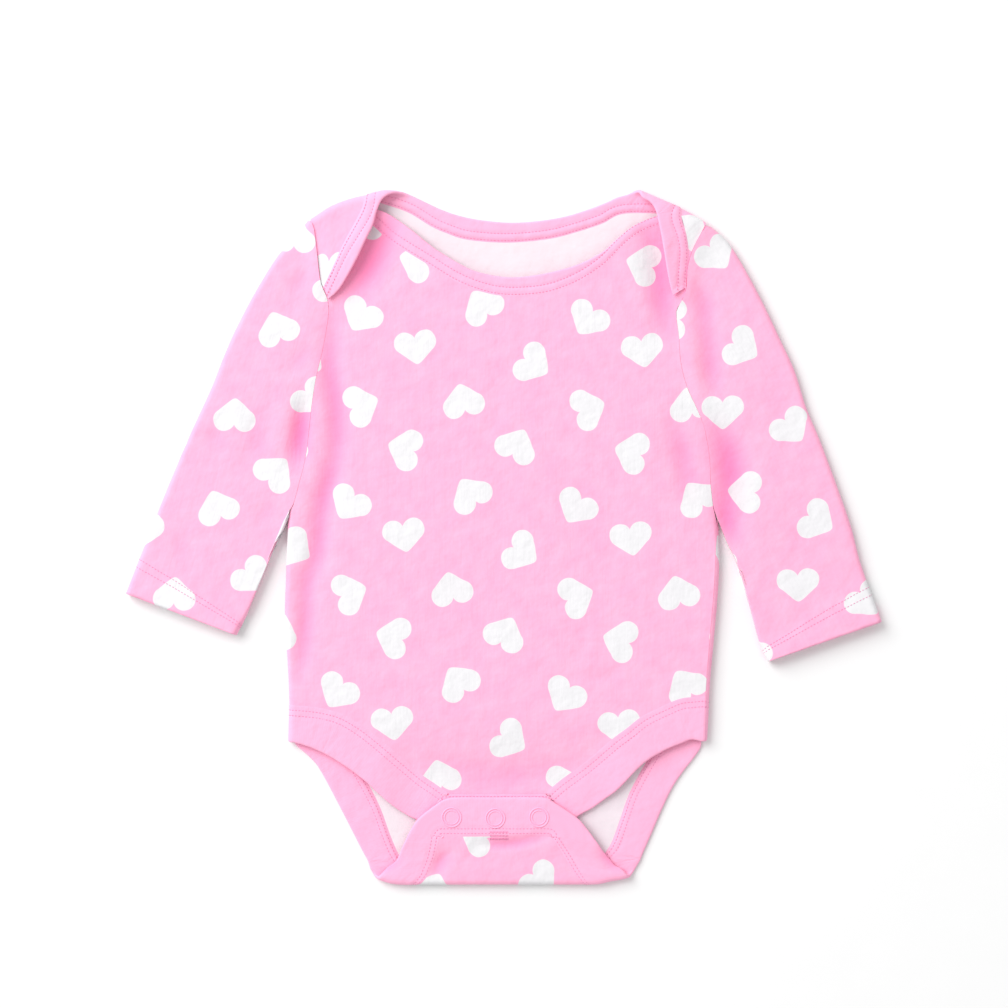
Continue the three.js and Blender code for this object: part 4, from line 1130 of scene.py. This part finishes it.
PRINT_DRAWN = Vector((8, -9.9))
PRINT_DRAWN_FROM = -25  # where that starts, before the fold


def back_print(spot):
    """The left flap is drawn a little over its fold, and its print with it."""
    fold = BACK.shoulder["left"]
    return BACK_CHART(spot + PRINT_DRAWN * ramp(fold.past(spot), PRINT_DRAWN_FROM, fold.half_turn))


def jersey_piece(node, mesh):
    return finish_mesh(
        node + "_cloth", mesh, [PRINTED, REVERSE], [node], JERSEY_WALL
    )


front_panel = jersey_piece("front_panel", panel_mesh(front_patches, FRONT, FRONT_CHART, True))
back_panel = jersey_piece("back_panel", panel_mesh(back_patches, BACK, back_print, False))

# Ribs: strips of doubled cloth, sewn on by their cut edges, with the fold as the free edge.

RIB_PROUD = 0.25  # a rib's outside stands this far over the cloth beside it
RIB_OVERLAP = 0.5
STITCH_SINK = 0.28
STITCH_GROOVE = 0.8
THREAD_PROUD = 0.12
OUTSIDE_STEPS = 16
ROUND_FOLD_STEPS = 7
INSIDE_STEPS = 14
# How a rib's faces are pressed onto the panel along its cut edges: the height there and
# the distances from the seam between which a face sinks to it.
PRESSED_OUTSIDE = (0.52, 0.9, -0.5)
PRESSED_INSIDE = (-0.3, 2.4, -0.4)
FLAT_END = (-2, 7)  # rows over which a binding's open end is pressed flat


def groove(reach, rows):
    """How deep the rows of stitches press a face."""
    return sum(STITCH_SINK * math.exp(-(((reach - row) / STITCH_GROOVE) ** 2)) for row in rows)


def rib_section(width, low, high, rows):
    """The doubled cloth across: distance from the seam and height, from the outside's cut
    edge round the fold to the inside's."""
    radius = (high - low) / 2
    section = []
    flat = width - radius
    for t in steps(OUTSIDE_STEPS):
        reach = -RIB_OVERLAP + (flat + RIB_OVERLAP) * t
        section.append((reach, high - groove(reach, rows)))
    for t in steps(ROUND_FOLD_STEPS)[1:]:
        angle = math.pi / 2 - math.pi * t
        section.append((flat + radius * math.cos(angle), low + radius + radius * math.sin(angle)))
    for t in steps(INSIDE_STEPS)[1:]:
        reach = between(flat, -RIB_OVERLAP, t)
        section.append((reach, low + groove(reach, rows)))
    return section


def pinched(reach, height, shift, inside):
    """The height of a rib's face, pressed onto the panel along its cut edge."""
    level, start, end = PRESSED_INSIDE if inside else PRESSED_OUTSIDE
    return between(height, level - shift, ramp(reach, start, end))


def rib_mesh(panel, seam, free, low, high, rows, centre=None):
    """A rib between its seam line and its free edge, both as cloth points."""
    placed, charts, along = [], [], 0.0
    for i, (inner, outer) in enumerate(zip(seam, free)):
        if i:
            along += (inner - seam[i - 1]).length
        direction = (outer - inner).normalized()
        row, across = [], 0.0
        section = rib_section((outer - inner).length, low, high, rows)
        # The open ends of a binding are pressed flat in the armhole seams.
        flat = ramp(min(i, len(seam) - 1 - i), *FLAT_END) if centre else 1
        for k, (reach, height) in enumerate(section):
            height = (low + high) / 2 * (1 - flat) + height * flat
            spot = inner + direction * reach
            shift = centre(panel, spot) if centre else 0
            if k:
                across += math.dist(section[k - 1], section[k])
            face = pinched(reach, height, shift, k > OUTSIDE_STEPS + ROUND_FOLD_STEPS)
            row.append(panel.laid(spot, face + shift))
            charts.append(Vector((along, across)))
        placed.append(row)
    mesh = bmesh.new()
    add_grid(mesh, placed)
    add_chart(mesh, charts)
    mesh.faces.ensure_lookup_table()
    mesh.normal_update()
    # One face of the outside tells whether the faces point outwards.
    middle, on_top = len(placed) // 2, 5
    inner, outer = seam[middle], free[middle]
    reach, height = rib_section((outer - inner).length, low, high, rows)[on_top]
    spot = inner + (outer - inner).normalized() * reach
    out = panel.laid(spot, height + 1) - panel.laid(spot, height)
    if mesh.faces[middle * (len(placed[0]) - 1) + on_top].normal.dot(out) < 0:
        bmesh.ops.reverse_faces(mesh, faces=mesh.faces)
    return mesh


def row_points(panel, seam, free, distance, level, inside, centre=None):
    """A line of points at a distance from a seam, with the direction out of the garment."""
    points = []
    for inner, outer in zip(seam, free):
        if (outer - inner).length < 1e-6:
            continue
        spot = inner + (outer - inner).normalized() * distance
        shift = centre(panel, spot) if centre else 0
        height = pinched(distance, level, shift, inside)
        low = panel.laid(spot, height + shift)
        points.append((low, (panel.laid(spot, height + shift + 1) - low).normalized()))
    return points


STITCH_PITCH = 1.9
STITCH_LONG = 1.35
STITCH_WIDE = 0.42


def stitch_mesh(lines):
    """Rows of stitches: a short bead of thread every pitch along each line."""
    mesh = bmesh.new()
    row_data = bpy.data.meshes.new("row")
    for points in lines:
        row = bmesh.new()
        at, travelled = 0.0, 0.0
        for (a, up_a), (b, up_b) in zip(points, points[1:]):
            length = (b - a).length
            while at <= travelled + length and length > 0:
                t = (at - travelled) / length
                spot, up = a.lerp(b, t), up_a.lerp(up_b, t).normalized()
                ahead = (b - a).normalized()
                side = up.cross(ahead).normalized()
                axes = (ahead * STITCH_LONG / 2, side * STITCH_WIDE / 2, up * STITCH_WIDE / 2)
                matrix = Matrix(axes).transposed().to_4x4()
                matrix.translation = spot
                bmesh.ops.create_uvsphere(
                    row, u_segments=5, v_segments=4, radius=1, matrix=matrix
                )
                at += STITCH_PITCH
            travelled += length
        row.to_mesh(row_data)
        row.free()
        mesh.from_mesh(row_data)
    bpy.data.meshes.remove(row_data)
    bmesh.ops.recalc_face_normals(mesh, faces=mesh.faces)
    return mesh


def binding_centre(panel, spot):
    """A binding lies flush with the outside of the neck and stands proud of the flaps."""
    proud = (BINDING - JERSEY) / 2
    if panel is FRONT:
        return -proud
    shares = [ramp(fold.past(spot), 0, fold.half_turn) for fold in panel.shoulder.values()]
    return proud * (2 * max(shares) - 1)


def rib_piece(node, panel, lines, low, high, rows, centre=None):
    """Makes a rib and its rows of stitches, those outside and those inside."""
    top = high + RIB_PROUD
    mesh = rib_mesh(panel, *lines, low, top, rows, centre)
    cloth = finish_mesh(node + "_rib", mesh, [RIB], [node], RIB_WALL)
    faces = ((top - STITCH_SINK + THREAD_PROUD, False), (low + STITCH_SINK - THREAD_PROUD, True))
    mesh = stitch_mesh([
        row_points(panel, *lines, row, level, inside, centre)
        for row in rows for level, inside in faces
    ])
    stitches = finish_mesh(node + "_rib_stitches", mesh, [THREAD], [])


FLAP_EDGE_STEPS = 30
BINDING_EDGE_STEPS = 400
BINDING_EASE = 16  # rows at each end over which its free edge eases to the seam's rows
BINDING_ROWS = (1.0, 4.9)  # rows of stitches, by their distance from the seam


def sew_binding(panel, part, neck, edges, tops, edge_rows):
    """A neck binding, on along its flaps or under them."""
    seam, free = {}, {}
    for side in SIDES:
        fold = panel.shoulder[side]
        seam[side] = curve(part[side]["neck_edge"], FLAP_EDGE_STEPS)
        start = fold.at(plan(tops[side]), 0)
        free[side] = [start, *(fold.unfolded(row) for row in edges[side])]
    line = seam["left"][::-1] + neck[1:-1] + seam["right"]
    edge = curve([*free["left"][::-1], *edge_rows, *free["right"]], BINDING_EDGE_STEPS)
    lines = offset(line, SEAM_GAP), faced(line, edge, BINDING_EASE, BINDING_EASE)
    node = "neck_binding_" + panel.name
    rib_piece(node, panel, lines, -BINDING / 2, BINDING / 2, BINDING_ROWS, binding_centre)


edge_tips_front = {side: [EDGE_TIP_FRONT[side]] for side in SIDES}
sew_binding(
    FRONT, front_part, front_neck, edge_tips_front, EDGE_TOP_FRONT, FRONT_BINDING_EDGE
)
sew_binding(BACK, back_part, back_neck, FLAP_EDGE, EDGE_TOP_BACK, BACK_BINDING_EDGE)

BAND_LOW = JERSEY / 2 - BAND
BAND_HIGH = JERSEY / 2
BAND_ROWS = (2.6, 5.6)
FLAP_BAND_ROWS = (1.6, 4.2)
BAND_EASE = 14
FOLD_EASE = 20
TAB_STEPS = 20
FLAP_BAND_STEPS = 32
FLAP_BAND_TURN = 3  # row of the flap's band edge where it turns along the placket
BAND_LAP = 6 * SEAM_GAP  # a band's end laps over the placket's


def side_columns(panel, side, spot):
    """The points of a line's piece round the side, from the side seam to the fold's start."""
    past = panel.seam_past(side, spot.y)
    fold = panel.side[side]
    return [fold.at(spot, past * (1 - t)) for t in steps(TURN_STEPS)[:-1]]


def band_seam(panel, part, side):
    """The line that a leg band is sewn along, from the start of the side's bend."""
    line = offset(part[side]["leg"], AWAY[side] * SEAM_GAP)
    line[0] = panel.side[side].at(line[0], 0)
    return line


for side in SIDES:
    leg_seam = band_seam(FRONT, front_part, side)
    beside = TAB_PLACKET[side] + AWAY[side] * SEAM_GAP
    corner, foot = Vector((beside, TAB_PLACKET["high"])), Vector((beside, TAB_PLACKET["low"]))
    tab = [between(corner, foot, t) for t in steps(TAB_STEPS - 1)]
    start = side_start(FRONT, side, BAND_FOOT[side])
    edge = curve([start, *FRONT_BAND_EDGE[side], TAB_BAND_TIP[side]], EDGE_STEPS)
    beside_leg, rest = faced(leg_seam, edge, BAND_EASE, None)
    seam = side_columns(FRONT, side, leg_seam[0]) + leg_seam + tab
    free = side_columns(FRONT, side, start) + beside_leg + resampled(rest, TAB_STEPS)[1:]
    node = "leg_band_front_" + side
    rib_piece(node, FRONT, (seam, free), BAND_LOW, BAND_HIGH, BAND_ROWS)

# The flap's free edge is one line over both bands and the placket between them.
placket_edge = profile([
    (-34.5, -144.5), (-30, -143), (-25, -142.5), (-2, -142.5), (20, -142.5), (25.5, -143.5),
])

for side in SIDES:
    crotch = BACK.crotch
    leg_seam = band_seam(BACK, back_part, side)
    leg_seam[-1] = crotch.at(leg_seam[-1], 0)
    start = side_start(BACK, side, BAND_FOOT[side])
    edge_end = crotch.at(Vector((CROTCH_EDGE[side], 0)), 0)
    edge = curve([start, *BACK_BAND_EDGE[side], edge_end], EDGE_STEPS)
    edge = faced(leg_seam, edge, BAND_EASE, FOLD_EASE)
    flap_seam = curve(back_part[side]["flap"], FLAP_BAND_STEPS)
    flap_seam = offset(flap_seam, AWAY[side] * SEAM_GAP)
    over = [crotch.unfolded(row) for row in FLAP_BAND_EDGE[side]]
    flap_edge = curve([edge_end, *over[: FLAP_BAND_TURN + 1]], FLAP_BAND_STEPS)
    joint = FLAP_PLACKET[side] - AWAY[side] * BAND_LAP
    corner = crotch.unfolded((joint, FLAP_PLACKET["low"]))
    beside = crotch.unfolded((joint, placket_edge(joint)))
    top_edge = curve([*over[FLAP_BAND_TURN:], beside], TAB_STEPS)
    seam = side_columns(BACK, side, leg_seam[0]) + leg_seam + flap_seam[1:]
    seam += [corner] * TAB_STEPS
    free = side_columns(BACK, side, start) + edge + flap_edge[1:] + top_edge[1:]
    node = "leg_band_back_" + side
    rib_piece(node, BACK, (seam, free), BAND_LOW, BAND_HIGH, FLAP_BAND_ROWS)

PLACKET_STEPS = 60
PLACKET_OVER = 0.04  # its ends lap over the bands' and hardly show
TAB_PLACKET_ROWS = (1.0,)


def placket_lines(placket, seam_y, free_y, place):
    xs = [placket["left"] + (placket["right"] - placket["left"]) * t for t in steps(PLACKET_STEPS)]
    return [place((x, seam_y)) for x in xs], [place((x, free_y(x))) for x in xs]


lines = placket_lines(FLAP_PLACKET, FLAP_PLACKET["low"], placket_edge, BACK.crotch.unfolded)
high = BAND_HIGH + PLACKET_OVER
rib_piece("crotch_placket_back", BACK, lines, BAND_LOW, high, FLAP_BAND_ROWS)
lines = placket_lines(TAB_PLACKET, TAB_PLACKET["high"], lambda x: TAB_PLACKET["low"], plan)
rib_piece("crotch_placket_front", FRONT, lines, -BINDING / 2, BINDING / 2, TAB_PLACKET_ROWS)

# Sleeves: flattened tubes, sewn along their underarm edge and turned in at the cuff.

SLEEVE_ROWS = 120
SLEEVE_TOP_STEPS = 44
SLEEVE_UNDER_STEPS = 36
ROUND_STEPS = 10
SLEEVE_CLEARANCE = 0.1
CUFF_LIFT = 1.3  # the cuff's upper side stands open a little
CUFF_LIFT_FROM = 0.86
HEM = 20.3
HEM_ROWS = 7
HEM_GAP = 0.95
HEM_STITCHES = (HEM, HEM - 4.5)
HEM_THREAD_PROUD = 0.06
# The sewn edge goes on under the panels a little, so that no gap shows at the seam.
TUCK = 1.4
TUCK_DEEP = 0.9
SEAM_RINGS = ([1, 1], [2, 2])  # the rings along the seam, whose edges stay crisp


def along_line(line, distance):
    rest = distance
    for a, b in zip(line, line[1:]):
        length = (b - a).length
        if rest <= length:
            return between(a, b, rest / length)
        rest -= length
    return line[-1]


def sleeve_ring(line, height, lift, beyond):
    """A ring of the tube from its underarm seam over the top and back under: each point
    with its place on the sleeve's cloth, which goes on beyond the outer fold."""
    total = sum((b - a).length for a, b in zip(line, line[1:]))
    reach = total - 2 * BODY_OUTER
    outer = along_line(line, BODY_OUTER)
    inner = along_line(line, total - BODY_OUTER)
    out, back = (line[0] - outer).normalized(), (line[-1] - inner).normalized()
    radius = BODY_BEND + height
    ring = []

    def turned(centre, direction, angle, cloth):
        spot = centre + direction * radius * math.cos(angle)
        z = BODY_OUTER + radius * math.sin(angle) + lift * max(math.sin(angle), 0)
        ring.append((Vector((spot.x, spot.y, z)), cloth))

    def mirrored(spot):
        away = spot - outer
        return outer + away + beyond * 2 * (quarter - away.dot(beyond))

    quarter = BODY_BEND * math.pi / 2
    for t in steps(ROUND_STEPS // 2)[:-1]:
        turned(inner, back, t * math.pi / 2, inner + back * quarter * (1 - t))
    for t in steps(SLEEVE_TOP_STEPS):
        spot = along_line(line, BODY_OUTER + reach * (1 - t))
        ring.append((Vector((spot.x, spot.y, BODY_OUTER + radius + lift)), spot))
    for t in steps(ROUND_STEPS)[1:-1]:
        turned(outer, out, (0.5 - t) * math.pi, outer + beyond * 2 * quarter * t)
    for t in steps(SLEEVE_UNDER_STEPS):
        spot = along_line(line, BODY_OUTER + reach * t)
        ring.append((Vector((spot.x, spot.y, BODY_OUTER - radius)), mirrored(spot)))
    for t in steps(ROUND_STEPS // 2)[1:]:
        turned(inner, back, (t - 1) * math.pi / 2, mirrored(inner + back * quarter * t))
    return ring


def sleeve_lines(side):
    """Lines across the sleeve from its armhole to its cuff, each from the outer fold in."""
    outer = curve(SLEEVE_OUTER[side], SLEEVE_ROWS)
    inner = curve(SLEEVE_INNER[side], SLEEVE_ROWS)
    seam = offset(ARMHOLE_LINE[side], AWAY[side] * SLEEVE_CLEARANCE)
    armhole = [outer[0], *seam, inner[0]]
    cuff = [between(outer[-1], inner[-1], t) for t in steps(len(armhole) - 1)]
    return coons(armhole, cuff, outer, inner)


def line_at(lines, row):
    """The line at a row that may lie between two, and how far the cuff stands open there."""
    i = min(int(row), SLEEVE_ROWS - 1)
    line = [between(a, b, row - i) for a, b in zip(lines[i], lines[i + 1])]
    return line, CUFF_LIFT * ramp(row / SLEEVE_ROWS, CUFF_LIFT_FROM, 1)


def sleeve_rings(lines, beyond):
    """The rings of a sleeve: the tucked seam, the outside, and back in along the hem."""
    tucked = [a + (a - b).normalized() * TUCK for a, b in zip(lines[0], lines[1])]
    made = [sleeve_ring(line, HALF_WALL - TUCK_DEEP, 0, beyond) for line in (tucked, lines[0])]
    for t, line in zip(steps(SLEEVE_ROWS), lines):
        lift = CUFF_LIFT * ramp(t, CUFF_LIFT_FROM, 1)
        made.append(sleeve_ring(line, HALF_WALL, lift, beyond))
    turned_in = HALF_WALL - JERSEY_WALL - HEM_GAP
    hem_reach = HEM / ((lines[-1][0] - lines[-2][0]).length * HEM_ROWS)
    made.append(sleeve_ring(lines[-1], (HALF_WALL + turned_in) / 2, CUFF_LIFT, beyond))
    for k in range(HEM_ROWS + 1):
        line, lift = line_at(lines, SLEEVE_ROWS - k * hem_reach)
        made.append(sleeve_ring(line, turned_in, lift, beyond))
    return made


def sleeve_mesh(rings, place):
    """The cloth through the rings, with its outside outwards."""
    mesh = bmesh.new()
    add_grid(mesh, [[spot for spot, _ in ring] for ring in rings])
    add_chart(mesh, [place(cloth) for ring in rings for _, cloth in ring])
    for edge in mesh.edges:
        edge.smooth = [vert.index // len(rings[0]) for vert in edge.verts] not in SEAM_RINGS
    mesh.normal_update()
    total = 0
    for face in mesh.faces:
        middle = face.calc_center_median()
        total += face.normal.z * face.calc_area() * (1 if middle.z > BODY_OUTER else -1)
    if total < 0:
        bmesh.ops.reverse_faces(mesh, faces=mesh.faces)
    return mesh


for side in SIDES:
    lines = sleeve_lines(side)
    fold_line = plan(SLEEVE_OUTER[side][-1]) - plan(SLEEVE_OUTER[side][0])
    beyond = Vector((-fold_line.y, fold_line.x)).normalized()
    halfway = lines[SLEEVE_ROWS // 2]
    if beyond.dot(halfway[0] - halfway[-1]) < 0:
        beyond = -beyond
    mesh = sleeve_mesh(sleeve_rings(lines, beyond), SLEEVE_CHART[side])
    sleeve = jersey_piece("sleeve_" + side, mesh)
    hem_lines = []
    for distance in HEM_STITCHES:
        row = SLEEVE_ROWS - distance / (lines[-1][0] - lines[-2][0]).length
        line, lift = line_at(lines, row)
        ring = sleeve_ring(line, HALF_WALL + HEM_THREAD_PROUD, lift, beyond)
        hem_lines.append([
            (spot, Vector((0, 0, 1 if spot.z > BODY_OUTER else -1))) for spot, _ in ring
        ])
    name = f"sleeve_{side}_hem_stitches"
    stitches = finish_mesh(name, stitch_mesh(hem_lines), [THREAD], [])

# Seam allowances inside the armholes.

ALLOWANCE = 3
ALLOWANCE_WALL = 0.5
ALLOWANCE_LEVELS = (4.2, 1.8)  # inside the front and inside the back

for side in SIDES:
    lines = [offset(ARMHOLE_LINE[side], distance) for distance in (-ALLOWANCE, 0, ALLOWANCE)]
    mesh = bmesh.new()
    for level in ALLOWANCE_LEVELS:
        add_grid(mesh, [[(*spot, level) for spot in line] for line in lines])
    add_chart(mesh, [spot for line in lines for spot in line] * len(ALLOWANCE_LEVELS))
    name = "armhole_seam_" + side
    finish_mesh(name, mesh, [RIB], [], ALLOWANCE_WALL)

# A bartack over the middle of the flap's seam.

BARTACK_LINES = 13
BARTACK_GAP = 0.8
BARTACK_MIDDLE = -2.5
BARTACK_ENDS = (-165.4, -161)
BARTACK_SINK = 0.1

lines = []
for number in range(BARTACK_LINES):
    x = BARTACK_MIDDLE + (number - (BARTACK_LINES - 1) / 2) * BARTACK_GAP
    level = FLAP_LEVEL + JERSEY / 2 + RIB_PROUD - BARTACK_SINK
    lines.append([(Vector((x, y, level)), Vector((0, 0, 1))) for y in BARTACK_ENDS])
finish_mesh("crotch_bartack_stitches", stitch_mesh(lines), [THREAD], [])

# Snaps: pressed rings on both sides of the closed plackets.

# Rings by their inner and outer radius and their height.
SNAP_RINGS = ((4.85, 5.6, 0.55), (3.55, 4.2, 0.5))
SNAP_BACK_RING = (3.2, 4.4, 0.5)
SNAP_BACK_SINK = 0.55
SNAP_SINK = 0.15
SNAP_STUD_RADIUS = 4.2
SNAP_STUD_GAP = 0.3
RING_STEPS = 40
STUD_STEPS = 24
RING_SHOULDER = 0.45  # share of a ring's height that is rounded off


def add_ring(mesh, x, y, z, inner, outer, height):
    """A low ring with rounded shoulders, spun round its axis."""
    soft = height * RING_SHOULDER
    section = [
        (inner, 0), (inner, height - soft), (inner + soft * 0.3, height - soft * 0.3),
        (inner + soft, height), (outer - soft, height),
        (outer - soft * 0.3, height - soft * 0.3), (outer, height - soft), (outer, 0),
    ]
    verts = [mesh.verts.new((x + radius, y, z + level)) for radius, level in section]
    edges = [mesh.edges.new(pair) for pair in zip(verts, verts[1:] + verts[:1])]
    bmesh.ops.spin(
        mesh, geom=verts + edges, cent=(x, y, z), axis=(0, 0, 1), angle=2 * math.pi,
        steps=RING_STEPS, use_merge=True,
    )


for number, (x, y) in enumerate(SNAPS, start=1):
    mesh = bmesh.new()
    for ring in SNAP_RINGS:
        add_ring(mesh, x, y, FLAP_LEVEL + BAND_HIGH + RIB_PROUD - SNAP_SINK, *ring)
    add_ring(mesh, x, y, TAB_LEVEL - BINDING / 2 - SNAP_BACK_SINK, *SNAP_BACK_RING)
    bmesh.ops.create_cone(
        mesh, cap_ends=True, segments=STUD_STEPS, radius1=SNAP_STUD_RADIUS,
        radius2=SNAP_STUD_RADIUS, depth=FLAP_LEVEL - TAB_LEVEL - BINDING - SNAP_STUD_GAP,
        matrix=Matrix.Translation((x, y, (FLAP_LEVEL + TAB_LEVEL) / 2)),
    )
    bmesh.ops.recalc_face_normals(mesh, faces=mesh.faces)
    nodes = [f"snap_{half}_{number}" for half in ("cap", "stud", "back")]
    finish_mesh(f"snap_{number}_rings", mesh, [ENAMEL], nodes)

# Floor, light and camera.

bpy.ops.mesh.primitive_plane_add(size=60, location=(0, 0, 0))
floor = bpy.context.object
floor.name = "floor"
floor.data.materials.append(floor_paper())

world = bpy.data.worlds.new("studio")
world.use_nodes = True
sky = world.node_tree.nodes["Background"].inputs
sky["Color"].default_value = (1, 1, 1, 1)
sky["Strength"].default_value = 0.74
bpy.context.scene.world = world


def softbox(name, place, size, power):
    data = bpy.data.lights.new(name, "AREA")
    data.shape = "SQUARE"
    data.size = size
    data.energy = power
    made = bpy.data.objects.new(name, data)
    made.location = place
    made.rotation_euler = (-Vector(place)).to_track_quat("-Z", "Y").to_euler()
    bpy.context.scene.collection.objects.link(made)


softbox("key", (-1.9, 1.5, 2.0), 2.2, 96)

camera_data = bpy.data.cameras.new("camera")
camera_data.lens = 85
camera_data.sensor_width = 36
camera = bpy.data.objects.new("camera", camera_data)
camera.location = (0.000051, 0.018608, 1.315)
bpy.context.scene.collection.objects.link(camera)
bpy.context.scene.camera = camera

scene = bpy.context.scene
scene.view_settings.view_transform = "Standard"
scene.view_settings.look = "None"
scene.view_settings.exposure = 0
scene.view_settings.gamma = 1
